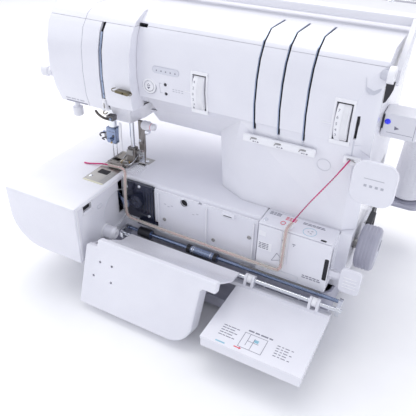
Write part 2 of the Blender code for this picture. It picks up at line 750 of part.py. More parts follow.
def make_loopers():
    """The two loopers, and the dark housing that their drive runs in."""
    upper = looper_blade((110.0, -33.0), (87.0, -7.5), 6.5, 4.0, 80.6, 83.0)
    finished(upper, "upper_looper", STEEL, 0.2, 1.0, (110.0, 81.8, -33.0))
    lower = looper_blade((86.0, -56.0), (76.0, -17.0), 6.5, 4.0, 103.0, 105.4)
    finished(lower, "lower_looper", STEEL, 0.2, 1.0, (86.0, 104.2, -56.0))
    housing = bevelled(block("plate", (104.0, 85.2, -54.0), (145.0, 89.2, -3.5)), 0.8, 1)
    foot = block("foot", (126.0, 79.0, -57.0), (150.0, 88.0, -52.5))
    knob = turned("knob", "y", (124.0, -27.0), [(8.0, 87.0), (8.0, 80.0), (6.8, 78.5)], 22)
    tab = block("tab", (143.0, 86.0, -9.0), (146.5, 89.2, -4.5))
    joined(housing, foot, knob, tab)
    finished(housing, "looper_drive_housing", DARK, 0.25, 0.3)


# ---------------------------------------------------------------- looper cover


def opened(made):
    """Slides a cover piece along its rod and turns it about the hinge, from shut to folded open."""
    hinge = point(0.0, HINGE_Y, HINGE_Z)
    turn = Matrix.Rotation(math.radians(COVER_ANGLE), 4, "X")
    shift = Matrix.Translation(point(COVER_SLIDE, 0, 0))
    made.data.transform(shift @ Matrix.Translation(hinge) @ turn @ Matrix.Translation(-hinge))
    return made


def cover_top_outline():
    """The bed extension from above: straight at the left, round at the front right, with an ear behind it."""
    corner = 27.0
    right = COVER_PANEL_RIGHT - COVER_EAR_WIDTH
    round_corner = circle((right - corner - 1, COVER_FRONT + corner), corner, 8, 270.0, 75.0)
    return [
        (COVER_LEFT, COVER_REAR - COVER_NOTCH_DEPTH),
        (COVER_LEFT, COVER_FRONT),
        *round_corner,
        (right, COVER_EAR_FRONT - 3),
        (right + 3, COVER_EAR_FRONT),
        (COVER_PANEL_RIGHT, COVER_EAR_FRONT),
        (COVER_PANEL_RIGHT, COVER_REAR),
        (COVER_LEFT + COVER_NOTCH_WIDTH, COVER_REAR),
        (COVER_LEFT + COVER_NOTCH_WIDTH, COVER_REAR - COVER_NOTCH_DEPTH),
    ]


def make_cover():
    """The looper cover: bed extension with its front, the chart panel, and the strip that joins them."""
    top = prism("top", cover_top_outline(), "z", -COVER_DEPTH, 0.0)
    bevelled(top, 2.0, 2, 60.0)
    cut(
        top,
        prism("inside", inset(cover_top_outline(), COVER_SKIN), "z", -40.0, -COVER_SKIN),
        block("rear_room", (COVER_LEFT - 5, COVER_REAR - 12, -40), (COVER_PANEL_RIGHT + 5, 88, -8)),
    )
    for x, y in ((123.2, 56.8), (139.0, 56.6), (116.6, 38.4), (140.6, 37.5)):
        cut(top, rod("pin_hole", "z", (x, y), 1.6, -10, 5, 12))
    front, low = COVER_FRONT, -COVER_DEPTH
    under = [(front + 1.7, low + 1), (62.0, -73.0), (60.0, -76.0), (front - 0.3, low - 1), (front + 0.2, low + 4)]
    belly = prism("belly", under, "x", COVER_LEFT + 16.5, COVER_PANEL_RIGHT - 50)
    back = [(81.5, -4.0), (70.3, -44.0), (73.0, -64.2), (70.6, -65.2), (67.8, -44.4), (79.6, -4.6)]
    deck = prism("deck", back, "x", COVER_LEFT + 17, COVER_PANEL_RIGHT - 1)
    foot = (HINGE_Y - 8.0, HINGE_Z - 6.0)
    lean = math.radians(CHART_LEAN)
    along = Vector((-math.sin(lean), math.cos(lean)))
    out = Vector((-math.cos(lean), -math.sin(lean)))
    start = Vector(foot)
    end = start + along * CHART_LENGTH
    corners = [start, end, end + out * 3.0, start + out * 3.0]
    chart = prism("chart", [tuple(c) for c in corners], "x", CHART_LEFT, CHART_RIGHT)
    inner = out * 1.5
    lip = [start + inner + along, end + inner - along, end + out * 13.0 - along, start + out * 9.0 + along]
    for x in (CHART_LEFT + GAP, CHART_RIGHT - GAP - 3.0):
        joined(chart, prism("lip", [tuple(c) for c in lip], "x", x, x + 3.0))
    rim = end + out * 13.4
    edge = [end + inner - along * 4.0, end + inner - along * 0.5, rim - along * 0.5, rim - along * 4.0]
    joined(chart, prism("edge", [tuple(c) for c in edge], "x", CHART_LEFT + 1.0, CHART_RIGHT - 1.0))
    low = (COVER_LEFT + 6, HINGE_Y - 12, HINGE_Z - 8)
    strip = block("strip", low, (CHART_RIGHT, HINGE_Y - 8, HINGE_Z + 4))
    cover = joined(top, belly, deck, strip, chart)
    for x in SLEEVE_PLACES:
        for side in (-1, 1):
            near = x + side * (SLEEVE_WIDTH / 2 + GAP + 1.5)
            arm = rounded_rectangle((HINGE_Y - 11, HINGE_Z - 5), (HINGE_Y + 5, HINGE_Z + 5), 4.0)
            arm = prism("arm", arm, "x", near - 1.5, near + 1.5)
            joined(cover, arm)
    cut(cover, rod("bore", "x", (HINGE_Y, HINGE_Z), HINGE_ROD_RADIUS + 0.5, 90, 400, 18))
    opened(cover)
    finished(cover, "looper_cover", WHITE, 0.3, 0.0, (COVER_LEFT, HINGE_Y, HINGE_Z))


def make_hinge():
    """The rod that the cover slides and turns on, with its two end brackets and its sleeves."""
    centre = (HINGE_Y, HINGE_Z)
    hinge = rod("hinge", "x", centre, HINGE_ROD_RADIUS, 108.0, 386.0, 18)
    for x in (110.0, 380.0):
        ear = rounded_rectangle((HINGE_Y - 5, HINGE_Z - 6), (HINGE_Y + 15, HINGE_Z + 6), 3.0)
        joined(hinge, prism("ear", ear, "x", x, x + 4.0))
    finished(hinge, "hinge_rod", STEEL, 0.2, 1.0)
    for name, x in zip(("left_sleeve", "right_sleeve"), SLEEVE_PLACES):
        middle = x + COVER_SLIDE
        half = SLEEVE_WIDTH / 2
        sleeve = rod("sleeve", "x", centre, SLEEVE_RADIUS, middle - half, middle + half, 20)
        cut(sleeve, rod("bore", "x", centre, HINGE_ROD_RADIUS + GAP, middle - 9, middle + 9, 18))
        finished(sleeve, name, WHITE, 0.5, 0.0, (middle, HINGE_Y, HINGE_Z))
    coupler = turned(
        "coupler",
        "x",
        (79.0, -67.8),
        [
            (2.1, 115),
            (2.1, 128),
            (5.4, 128.5),
            (5.4, 145),
            (2.1, 146),
            (2.1, 197),
            (4.6, 197.5),
            (4.6, 236),
            (2.1, 236.5),
            (2.1, 379),
        ],
        18,
    )
    finished(coupler, "air_coupler", STEEL, 0.15, 1.0)


# ---------------------------------------------------------------- controls


def make_dials():
    """The two dials that stand a little out of the front, on axles across the machine."""
    for name, centre in (("stitch_dial", STITCH_DIAL), ("tension_dial", TENSION_DIAL)):
        axis_y = FRONT_AT_DIALS + DIAL_DEPTH
        half = DIAL_WIDTH / 2
        rim = DIAL_RADIUS
        outline = [(rim - 1, -half), (rim, -half + 1), (rim, half - 1), (rim - 1, half)]
        profile = [(radius, centre[0] + at) for radius, at in outline]
        dial = turned("dial", "x", (axis_y, centre[1]), profile, 40)
        cut(dial, rod("bore", "x", (axis_y, centre[1]), 3.0, centre[0] - 20, centre[0] + 20, 14))
        finished(dial, name, WHITE, 0.45, 0.0, (centre[0], axis_y, centre[1]))


def make_button():
    profile = [(BUTTON_RADIUS - 1, 86.0), (BUTTON_RADIUS, 87.0), (BUTTON_RADIUS, 96.0)]
    button = turned("button", "y", BUTTON_PLACE, profile, 22)
    finished(button, "foot_lift_button", WHITE, 0.35, 0.0, (BUTTON_PLACE[0], 90.0, BUTTON_PLACE[1]))


def make_side_levers():
    """The big air lever, the small selector lever, the port box, and the presser lifter at the left."""
    paddle = prism("paddle", rounded_rectangle((366.0, 55.0), (406.0, 99.0), 12.0, 5), "y", 79.0, 83.5)
    bevelled(paddle, 1.4, 2, 60.0)
    stem = [(81.0, 66.0), (81.0, 86.0), (125.0, 74.0), (139.0, 68.0), (139.0, 58.0), (125.0, 57.0)]
    arm = prism("stem", stem, "x", 380.0, 385.0)
    pin = rod("pin", "x", (133.0, 64.0), 4.0, BODY_RIGHT + GAP, 384.0, 16)
    joined(paddle, arm, pin)
    finished(paddle, "air_lever", WHITE, 0.25, 0.0, (380.0, 133.0, 64.0))
    tab = prism("tab", rounded_rectangle((374.0, -58.0), (396.0, -27.0), 5.0), "y", 83.0, 87.0)
    bevelled(tab, 1.2, 2, 60.0)
    bar = block("bar", (352.0, 85.0, -44.0), (380.0, 88.5, -36.5))
    hub = rod("hub", "y", (352.0, -40.2), 5.5, 84.8, 88.8, 16)
    joined(tab, bar, hub)
    finished(tab, "selector_lever", WHITE, 0.3, 0.0, (352.0, 86.0, -40.2))
    box = bevelled(block("box", (BODY_RIGHT + GAP, 126.0, 103.0), (408.0, 152.0, 127.0)), 2.0)
    finished(box, "needle_port_box", WHITE, 0.3)
    lever = rounded_rectangle((80.0, 107.0), (118.0, 117.0), 4.9)
    lifter = prism("lifter", lever, "x", 12.0, 18.0)
    grip = bevelled(prism("grip", rounded_rectangle((79.0, 106.0), (92.0, 118.0), 4.0), "x", 4.0, 14.0), 1.5)
    joined(lifter, grip, rod("pin", "x", (112.0, 112.0), 4.0, 16.0, 34.0, 16))
    finished(lifter, "presser_lifter", WHITE, 0.35, 0.0, (20.0, 112.0, 112.0))
    profile = [(5.0, 66.0), (6.0, 67.0), (6.0, 76.0), (2.9, 77.0), (2.9, 96.0)]
    knob = turned("knob", "z", (47.0, 86.0), profile, 20)
    finished(knob, "presser_pressure_knob", WHITE, 0.35, 0.0, (47.0, 86.0, 76.0))


def make_thread_guides():
    """The three-clip bar below the slits, the single guide at the right, and the head's metal guide."""
    front = COLUMN_FRONT - COLUMN_LEAN * 86 / BAND_TOP
    low = (254.0, front - 5.5, 84.0)
    bar = bevelled(block("bar", low, (328.0, front - 1.2, 92.0)), 1.5, 2)
    for place in THREAD_SLITS:
        cut(bar, block("clip", (place - 1.0, front - 9, 88.5), (place + 5.0, front - 3.6, 90.3)))
    finished(bar, "triple_thread_guide", WHITE, 0.35)
    guide = bevelled(block("guide", (354.0, front - 5.5, 86.0), (370.0, front - 1.2, 94.0)), 1.5, 2)
    cut(guide, block("clip", (357.5, front - 9, 90.6), (364.0, front - 3.6, 92.6)))
    finished(guide, "looper_thread_guide", WHITE, 0.35)
    outline = [(116.0, 112.5), (132.0, 111.5), (134.0, 113.0), (131.0, 115.0), (117.0, 115.2)]
    finger = prism("finger", outline, "y", 67.5, 73.4)
    cut(finger, rod("eye", "y", (126.0, 113.3), 0.9, 60, 80, 12))
    finished(finger, "head_thread_guide", STEEL, 0.25, 1.0)


def make_handle():
    """The carrying handle, folded back over the top, on its two side pivots."""
    pivot = (127.0, 161.0)
    arm = [(119, 157), (127, 152), (136, 157), (180, 193), (180, 201), (172, 203), (160, 200), (121, 168)]
    bar = bevelled(block("bar", (18.0, 164.0, 193.5), (382.0, 179.0, 202.5)), 2.5, 2)
    left = prism("left", arm, "x", 18.0, 23.0)
    right = prism("right", arm, "x", 377.4, 382.0)
    joined(bar, left, right)
    for low, high in ((21.0, 24.7), (BODY_RIGHT + GAP, 379.0)):
        joined(bar, rod("pin", "x", pivot, 5.0, low, high, 18))
    finished(bar, "carry_handle", WHITE, 0.35, 0.0, (200.0, *pivot))


def make_mains():
    """The mains inlet and the rocker switch on the right side."""
    inlet = bevelled(block("inlet", (BODY_RIGHT + GAP, 174.0, -54.0), (BODY_RIGHT + 8, 202.0, -26.0)), 1.0, 1)
    cut(inlet, block("socket", (BODY_RIGHT + 2, 177.5, -50.5), (BODY_RIGHT + 12, 198.5, -29.5)))
    for y in (183.0, 193.0):
        joined(inlet, rod("prong", "x", (y, -40.0), 1.2, BODY_RIGHT + 1.5, BODY_RIGHT + 6, 10))
    finished(inlet, "mains_inlet", DARK, 0.5)
    foot, middle, tip = BODY_RIGHT + 1.0, BODY_RIGHT + 3.6, BODY_RIGHT + 5.4
    rocker = [(foot, 206.0), (foot, 218.0), (tip, 219.0), (middle, 212.0), (middle + 0.4, 205.0)]
    switch = prism("rocker", rocker, "z", -52.0, -28.0)
    finished(switch, "power_switch", DARK, 0.4, 0.0, (BODY_RIGHT + 1.0, 212.0, -40.0))


# ---------------------------------------------------------------- spool stand, tube and thread


def make_spool_stand():
    """The spool stand behind the machine, its telescopic thread rail, and one cone of thread."""
    tray_outline = rounded_rectangle((STAND_LEFT, STAND_FRONT), (STAND_RIGHT, STAND_BACK), 14.0)
    tray = bevelled(prism("tray", tray_outline, "z", STAND_TOP - STAND_THICKNESS, STAND_TOP), 1.5, 1)
    bracket = block("bracket", (150.0, BED_BACK + GAP, -70.0), (270.0, STAND_FRONT + 6, STAND_TOP - 3))
    joined(tray, bracket)
    for x in PIN_PLACES:
        top = STAND_TOP
        profile = [(8.0, top - 1), (8.0, top + 2), (PIN_RADIUS, top + 4), (1.6, top + 74)]
        joined(tray, turned("pin", "z", (x, PIN_Y), profile, 12))
    finished(tray, "spool_stand", GREY_LAVENDER, 0.45)
    centre = (POLE_X, PIN_Y)
    pole = rod("pole", "z", centre, POLE_RADIUS, STAND_TOP + GAP, 150.0, 18)
    cut(pole, rod("bore", "z", centre, ANTENNA_RADIUS + RUN_CLEARANCE, STAND_TOP + 8, 200, 16))
    finished(pole, "antenna_pole", STEEL, 0.25, 1.0)
    mast = rod("mast", "z", centre, ANTENNA_RADIUS, STAND_TOP + 14, ANTENNA_TOP, 16)
    low = (PIN_PLACES[0] - 12, PIN_Y - 4, ANTENNA_TOP - 3)
    high = (PIN_PLACES[-1] + 12, PIN_Y + 4, ANTENNA_TOP)
    joined(mast, bevelled(block("rail", low, high), 1.0, 1))
    for x in PIN_PLACES:
        cut(mast, rod("eye", "z", (x, PIN_Y), 1.6, 180, 200, 12))
    finished(mast, "antenna_rail", STEEL, 0.3, 1.0, (POLE_X, PIN_Y, ANTENNA_TOP))
    base = STAND_TOP + 4.5
    top = base + CONE_HEIGHT
    profile = [(CONE_BASE - 3, base), (CONE_BASE, base + 3), (CONE_TIP + 1, top), (CONE_TIP - 3, top + 2)]
    centre = (PIN_PLACES[-1], PIN_Y)
    cone = turned("cone", "z", centre, profile, 28)
    cut(cone, rod("bore", "z", centre, CONE_BORE, base - 5, top + 9, 16))
    finished(cone, "thread_cone", (0.9, 0.9, 0.93), 0.8)


def smooth_route(places, steps):
    """Points on a smooth curve through the places, with even shares between each two."""
    points = [Vector(p) for p in places]
    ends = [points[0] * 2 - points[1], *points, points[-1] * 2 - points[-2]]
    route = []
    for a, b, c, d in zip(ends, ends[1:], ends[2:], ends[3:]):
        for i in range(steps):
            t = i / steps
            bend = (2 * a - 5 * b + 4 * c - d) * t * t + (3 * b - a - 3 * c + d) * t**3
            route.append(0.5 * (2 * b + (c - a) * t + bend))
    route.append(points[-1])
    return route


TUBE_PLACES = (
    (PORT[0] + 3.4, PORT[1] - 1.0, 7.6),
    (PORT[0] + 2.0, PORT[1] - 2.6, 5.2),
    (PORT[0] + 1.2, PORT[1] - 6.0, 4.0),
    (PORT[0] + 1.0, TUBE_Y + 2.4, 2.8),
    (PORT[0] + 1.0, TUBE_Y, -2.0),
    (PORT[0] + 0.6, TUBE_Y, -24.0),
    (PORT[0] + 0.2, TUBE_Y, -44.0),
    (PORT[0] - 1.8, TUBE_Y, -49.6),
    (PORT[0] - 7.0, TUBE_Y, -52.0),
    (270.0, TUBE_Y, -52.0),
    (220.0, TUBE_Y, -51.5),
    (170.0, TUBE_Y, -51.0),
    (130.0, TUBE_Y, -50.0),
    (119.0, TUBE_Y, -49.2),
    (114.0, TUBE_Y, -46.0),
    (112.6, TUBE_Y, -40.0),
    (112.6, TUBE_Y, -20.0),
    (112.6, TUBE_Y + 2.0, 0.0),
    (111.0, TUBE_Y + 5.0, 7.0),
    (105.0, TUBE_Y + 11.0, 8.0),
    (96.0, TUBE_Y + 17.0, 5.4),
    (86.0, TUBE_Y + 19.0, 3.4),
    (76.0, TUBE_Y + 19.0, 2.8),
)
TAIL_PLACES = ((68.0, 94.0, 2.6), (58.0, 91.0, 1.6), (50.0, 88.6, 1.0), (44.4, 87.8, 0.9))


def frames_along(route):
    """A pair of side directions at each point of a route, carried along without twist."""
    side = Vector((0.0, 1.0, 0.0))
    found = []
    for i, here in enumerate(route):
        ahead = route[min(i + 1, len(route) - 1)] - route[max(i - 1, 0)]
        ahead.normalize()
        side = (side - ahead * side.dot(ahead)).normalized()
        found.append((here, side.copy(), ahead.cross(side)))
    return found


def swept_ring(frame, radius, sides):
    here, side, other = frame
    turns = [2 * math.pi * i / sides for i in range(sides)]
    return [tuple(here + radius * (side * math.cos(a) + other * math.sin(a))) for a in turns]


def make_tube_and_thread():
    """The looper's air tube, an open pipe, and the thread that runs through it to the bed."""
    route = smooth_route(TUBE_PLACES, 3)
    outer = bridged("outer", [swept_ring(f, TUBE_RADIUS, 8) for f in frames_along(route)])
    first = route[0] - (route[1] - route[0])
    last = route[-1] + (route[-1] - route[-2])
    longer = [first, *route, last]
    cut(outer, bridged("bore", [swept_ring(f, TUBE_BORE, 8) for f in frames_along(longer)]))
    finished(outer, "looper_air_tube", (0.85, 0.85, 0.8), 0.2)
    guide = Vector((360.6, 86.6, 91.6))
    steps = 5
    air = [guide.lerp(route[0], i / steps) for i in range(steps)]
    tail = smooth_route((tuple(route[-1]), *TAIL_PLACES), 3)[1:]
    whole = [*air, *route, *tail]
    thread = bridged("thread", [swept_ring(f, THREAD_RADIUS, 6) for f in frames_along(whole)])
    finished(thread, "looper_thread", PINK, 0.6)


def stand_on_origin():
    """Moves everything so that the origin is on the table under the middle of the footprint."""
    bpy.context.view_layer.update()
    corners = [m.matrix_world @ v.co for m in bpy.context.scene.objects for v in m.data.vertices]
    middle = [(min(c[i] for c in corners) + max(c[i] for c in corners)) / 2 for i in range(2)]
    shift = Vector((-middle[0], -middle[1], BED_HEIGHT * MM))
    for made in bpy.context.scene.objects:
        made.location += shift


def main():
    for old in list(bpy.data.objects):
        bpy.data.objects.remove(old)
    make_base()
    make_bed_casing()
    make_bay_back()
    make_right_block()
    make_threading_panel()
    make_upper_casings()
    make_lower_shell()
    make_frame_casting()
    make_drive()
    make_needle_parts()
    make_presser_parts()
    make_knives()
    make_loopers()
    make_cover()
    make_hinge()
    make_dials()
    make_button()
    make_side_levers()
    make_thread_guides()
    make_handle()
    make_mains()
    make_spool_stand()
    make_tube_and_thread()
    stand_on_origin()


main()
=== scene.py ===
"""The looks of a serger (overlock sewing machine) with its looper cover folded open.

Places are written in the machine frame, in millimetres: X to the right, Y to the back, Z up,
with the datum at the front left top corner of the sewing bed. ``at`` turns them into metres on
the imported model.
"""

import logging
import math
from dataclasses import dataclass, field
from enum import Enum
from typing import Callable, Iterable, Sequence

import bmesh
import bpy
from mathutils import Matrix, Vector


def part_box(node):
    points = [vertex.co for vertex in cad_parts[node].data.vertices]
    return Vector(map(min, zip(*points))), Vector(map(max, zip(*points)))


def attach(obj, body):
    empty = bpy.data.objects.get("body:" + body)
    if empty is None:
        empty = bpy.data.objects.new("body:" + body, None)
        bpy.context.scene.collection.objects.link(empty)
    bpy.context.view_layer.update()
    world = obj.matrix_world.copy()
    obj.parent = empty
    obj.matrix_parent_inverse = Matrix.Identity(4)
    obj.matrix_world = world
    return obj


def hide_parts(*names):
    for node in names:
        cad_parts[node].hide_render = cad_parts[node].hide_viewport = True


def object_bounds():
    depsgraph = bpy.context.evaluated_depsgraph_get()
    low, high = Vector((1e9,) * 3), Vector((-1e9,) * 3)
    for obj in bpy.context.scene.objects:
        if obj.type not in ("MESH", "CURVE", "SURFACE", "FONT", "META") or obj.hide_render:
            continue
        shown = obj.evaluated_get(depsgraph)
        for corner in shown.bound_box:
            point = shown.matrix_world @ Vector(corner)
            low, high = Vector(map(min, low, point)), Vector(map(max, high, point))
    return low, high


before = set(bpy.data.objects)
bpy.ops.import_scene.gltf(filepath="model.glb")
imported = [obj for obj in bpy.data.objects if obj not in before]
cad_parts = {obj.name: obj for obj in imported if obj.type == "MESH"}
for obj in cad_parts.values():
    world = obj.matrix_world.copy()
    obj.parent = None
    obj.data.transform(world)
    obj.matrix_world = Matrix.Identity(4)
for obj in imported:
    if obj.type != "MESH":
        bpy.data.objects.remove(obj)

LOG = logging.getLogger("serger")
MM = 0.001
CAD_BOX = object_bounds()
BED_LOW, BED_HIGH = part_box("bed_casing")

Flat = tuple[float, float]
Place = tuple[float, float, float]
Colour = tuple[float, float, float]


def at(x: float, y: float, z: float) -> Vector:
    """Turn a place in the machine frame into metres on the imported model.

    Args:
        x: Millimetres to the right of the bed's left side.
        y: Millimetres behind the bed's front.
        z: Millimetres above the bed's top.

    Returns:
        The place in the shared frame, in metres.
    """
    return Vector((BED_LOW.x + x * MM, BED_LOW.y + y * MM, BED_HIGH.z + z * MM))


# ---------------------------------------------------------------- finishes


class Grain(Enum):
    """How the surface of a finish is broken up."""

    MOULDED = "moulded"
    BRUSHED = "brushed"
    POLISHED = "polished"
    FIBRE = "fibre"
    MATTE = "matte"


@dataclass(frozen=True)
class Relief:
    """The fine structure that goes with a grain.

    Attributes:
        scale: Size of the noise, per metre.
        depth: Strength of the bump, from 0 to 1.
        stretch: How the noise is stretched along X, Y and Z.
        spread: How far the roughness strays to each side.
    """

    scale: float
    depth: float
    stretch: tuple[float, float, float]
    spread: float


RELIEFS: dict[Grain, Relief] = {
    Grain.MOULDED: Relief(2600.0, 0.035, (1.0, 1.0, 1.0), 0.05),
    Grain.BRUSHED: Relief(2200.0, 0.12, (0.06, 1.0, 1.0), 0.1),
    Grain.POLISHED: Relief(900.0, 0.012, (1.0, 1.0, 1.0), 0.04),
    Grain.FIBRE: Relief(3400.0, 0.5, (1.0, 1.0, 0.35), 0.08),
    Grain.MATTE: Relief(3000.0, 0.12, (1.0, 1.0, 1.0), 0.08),
}


@dataclass(frozen=True)
class Finish:
    """One procedural surface of the machine.

    Attributes:
        name: What a maker would call it.
        colour: The main colour, linear.
        second: The colour that the broad mottling strays to.
        roughness: The middle of the roughness range.
        grain: The kind of fine structure.
        metallic: 1 for bare metal.
        coat: Strength of the clear gloss over it.
        alpha: Under 1 for a milky, see-through wall.
        edge_wear_and_highlight: How much lighter or darker the sharp edges are made: partly wear,
            partly a painted highlight along them.
        edge_wear_and_highlight_colour: The colour of those edges, pale on most finishes, so it also
            paints a highlight.
        glow: Strength of its own light.
        soft: Share of light scattered below the surface.
    """

    name: str
    colour: Colour
    second: Colour
    roughness: float
    grain: Grain
    metallic: float = 0.0
    coat: float = 0.0
    alpha: float = 1.0
    # The pale default edge colour paints a highlight along sharp edges, on top of wear.
    edge_wear_and_highlight: float = 0.25
    edge_wear_and_highlight_colour: Colour = (0.93, 0.93, 0.95)
    glow: float = 0.0
    soft: float = 0.0

    def material(self) -> bpy.types.Material:
        """Make the finish's node material once, and hand it out after that.

        Returns:
            The material.
        """
        found = bpy.data.materials.get(self.name)
        if found is not None:
            return found
        made = bpy.data.materials.new(self.name)
        made.use_nodes = True
        tree = made.node_tree
        shader = tree.nodes["Principled BSDF"]
        shader.inputs["Metallic"].default_value = self.metallic
        shader.inputs["Coat Weight"].default_value = self.coat
        shader.inputs["Coat Roughness"].default_value = 0.08
        shader.inputs["Alpha"].default_value = self.alpha
        shader.inputs["Subsurface Weight"].default_value = self.soft
        shader.inputs["Subsurface Scale"].default_value = 0.002
        if self.glow:
            shader.inputs["Emission Color"].default_value = (*self.colour, 1.0)
            shader.inputs["Emission Strength"].default_value = self.glow
        place = tree.nodes.new("ShaderNodeTexCoord")
        self._colour(tree, place, shader)
        self._relief(tree, place, shader)
        return made

    def _colour(
        self, tree: bpy.types.NodeTree, place: bpy.types.Node, shader: bpy.types.Node
    ) -> None:
        """Mix the two colours by a broad noise, then mix the edge colour in at the sharp edges: partly
        wear, partly a painted highlight along them.

        Args:
            tree: The material's nodes.
            place: The texture coordinates.
            shader: The surface shader.
        """
        cloud = tree.nodes.new("ShaderNodeTexNoise")
        cloud.inputs["Scale"].default_value = 22.0
        cloud.inputs["Detail"].default_value = 5.0
        tree.links.new(place.outputs["Object"], cloud.inputs["Vector"])
        body = tree.nodes.new("ShaderNodeMix")
        body.data_type = "RGBA"
        body.inputs[6].default_value = (*self.colour, 1.0)
        body.inputs[7].default_value = (*self.second, 1.0)
        spread = tree.nodes.new("ShaderNodeMapRange")
        spread.inputs["From Min"].default_value = 0.35
        spread.inputs["From Max"].default_value = 0.7
        tree.links.new(cloud.outputs["Fac"], spread.inputs["Value"])
        tree.links.new(spread.outputs["Result"], body.inputs[0])
        # Pointiness picks out the sharp edges for the edge colour: partly wear, partly a painted
        # highlight.
        shape = tree.nodes.new("ShaderNodeNewGeometry")
        edge = tree.nodes.new("ShaderNodeMapRange")
        edge.inputs["From Min"].default_value = 0.53
        edge.inputs["From Max"].default_value = 0.62
        edge.inputs["To Max"].default_value = self.edge_wear_and_highlight
        tree.links.new(shape.outputs["Pointiness"], edge.inputs["Value"])
        edge_wear_and_highlight_colour = tree.nodes.new("ShaderNodeMix")
        edge_wear_and_highlight_colour.data_type = "RGBA"
        edge_wear_and_highlight_colour.inputs[7].default_value = (*self.edge_wear_and_highlight_colour, 1.0)
        tree.links.new(edge.outputs["Result"], edge_wear_and_highlight_colour.inputs[0])
        tree.links.new(body.outputs[2], edge_wear_and_highlight_colour.inputs[6])
        tree.links.new(edge_wear_and_highlight_colour.outputs[2], shader.inputs["Base Color"])

    def _relief(
        self, tree: bpy.types.NodeTree, place: bpy.types.Node, shader: bpy.types.Node
    ) -> None:
        """Drive the roughness and a fine bump from one noise of the grain's kind.

        Args:
            tree: The material's nodes.
            place: The texture coordinates.
            shader: The surface shader.
        """
        relief = RELIEFS[self.grain]
        stretch = tree.nodes.new("ShaderNodeMapping")
        stretch.inputs["Scale"].default_value = relief.stretch
        tree.links.new(place.outputs["Object"], stretch.inputs["Vector"])
        noise = tree.nodes.new("ShaderNodeTexNoise")
        noise.inputs["Scale"].default_value = relief.scale
        noise.inputs["Detail"].default_value = 3.0
        tree.links.new(stretch.outputs["Vector"], noise.inputs["Vector"])
        rough = tree.nodes.new("ShaderNodeMapRange")
        rough.inputs["To Min"].default_value = max(0.02, self.roughness - relief.spread)
        rough.inputs["To Max"].default_value = min(1.0, self.roughness + relief.spread)
        tree.links.new(noise.outputs["Fac"], rough.inputs["Value"])
        tree.links.new(rough.outputs["Result"], shader.inputs["Roughness"])
        bump = tree.nodes.new("ShaderNodeBump")
        bump.inputs["Strength"].default_value = relief.depth
        bump.inputs["Distance"].default_value = 0.0002
        tree.links.new(noise.outputs["Fac"], bump.inputs["Height"])
        tree.links.new(bump.outputs["Normal"], shader.inputs["Normal"])


GLOSS_WHITE = Finish(
    "gloss white shell", (0.83, 0.83, 0.885), (0.79, 0.79, 0.85), 0.26, Grain.MOULDED, coat=0.25
)
SATIN_WHITE = Finish(
    "satin white plastic", (0.83, 0.83, 0.87), (0.79, 0.79, 0.84), 0.42, Grain.MOULDED
)
RIM_WHITE = Finish("bright white rim", (0.9, 0.9, 0.93), (0.87, 0.87, 0.91), 0.3, Grain.MOULDED)
GREY_SHELL = Finish(
    "grey lavender plastic", (0.42, 0.42, 0.5), (0.37, 0.37, 0.45), 0.4, Grain.MOULDED
)
BAND_GREY = Finish("pale grey strip", (0.6, 0.61, 0.68), (0.56, 0.57, 0.64), 0.35, Grain.MOULDED)
SEAM_GREY = Finish("seam shadow", (0.33, 0.33, 0.4), (0.3, 0.3, 0.36), 0.6, Grain.MATTE, edge_wear_and_highlight=0.0)
INK_GREY = Finish("grey print", (0.2, 0.2, 0.26), (0.25, 0.25, 0.3), 0.55, Grain.MATTE, edge_wear_and_highlight=0.0)
INK_PALE = Finish("pale print", (0.45, 0.46, 0.52), (0.5, 0.5, 0.56), 0.55, Grain.MATTE, edge_wear_and_highlight=0.0)
INK_RED = Finish("red print", (0.75, 0.06, 0.12), (0.68, 0.08, 0.12), 0.5, Grain.MATTE, edge_wear_and_highlight=0.0)
INK_TEAL = Finish("teal print", (0.25, 0.5, 0.62), (0.3, 0.55, 0.66), 0.5, Grain.MATTE, edge_wear_and_highlight=0.0)
BLACK_PLASTIC = Finish(
    "black plastic", (0.012, 0.012, 0.018), (0.02, 0.02, 0.026), 0.35, Grain.MATTE, edge_wear_and_highlight_colour=(
        0.1, 0.1, 0.12
    )
)
NAVY_PAINT = Finish(
    "blue black paint", (0.008, 0.011, 0.03), (0.016, 0.02, 0.045), 0.25, Grain.MATTE, coat=0.3,
        edge_wear_and_highlight_colour=(
        0.12, 0.14, 0.2
    )
)
# Near black painted shade, laid in slots, gaps, holes and vents where only shade would show.
PAINTED_SHADE_INSIDE = Finish(
    "painted shade inside", (0.01, 0.01, 0.014), (0.018, 0.018, 0.024), 0.7, Grain.MATTE, edge_wear_and_highlight=0.0
)
CHROME = Finish("chrome", (0.72, 0.74, 0.8), (0.62, 0.65, 0.72), 0.12, Grain.POLISHED, 1.0)
BLUE_STEEL = Finish("blued steel", (0.3, 0.36, 0.5), (0.22, 0.28, 0.42), 0.22, Grain.POLISHED, 1.0)
STEEL = Finish("ground steel", (0.42, 0.41, 0.4), (0.32, 0.31, 0.3), 0.36, Grain.BRUSHED, 1.0)
WARM_STEEL = Finish(
    "brown grey steel", (0.3, 0.28, 0.26), (0.24, 0.22, 0.21), 0.42, Grain.BRUSHED, 1.0
)
DARK_STEEL = Finish("dark steel", (0.06, 0.06, 0.07), (0.1, 0.09, 0.08), 0.34, Grain.BRUSHED, 0.9)
BRASS = Finish(
    "brass", (0.55, 0.38, 0.14), (0.4, 0.26, 0.1), 0.3, Grain.BRUSHED, 1.0, edge_wear_and_highlight_colour=(0.9, 0.75, 0.4)
)
BRONZE = Finish("dark bronze", (0.12, 0.105, 0.07), (0.2, 0.17, 0.1), 0.3, Grain.BRUSHED, 1.0)
CAST_METAL = Finish("cast aluminium", (0.45, 0.45, 0.47), (0.38, 0.38, 0.4), 0.5, Grain.MATTE, 1.0)
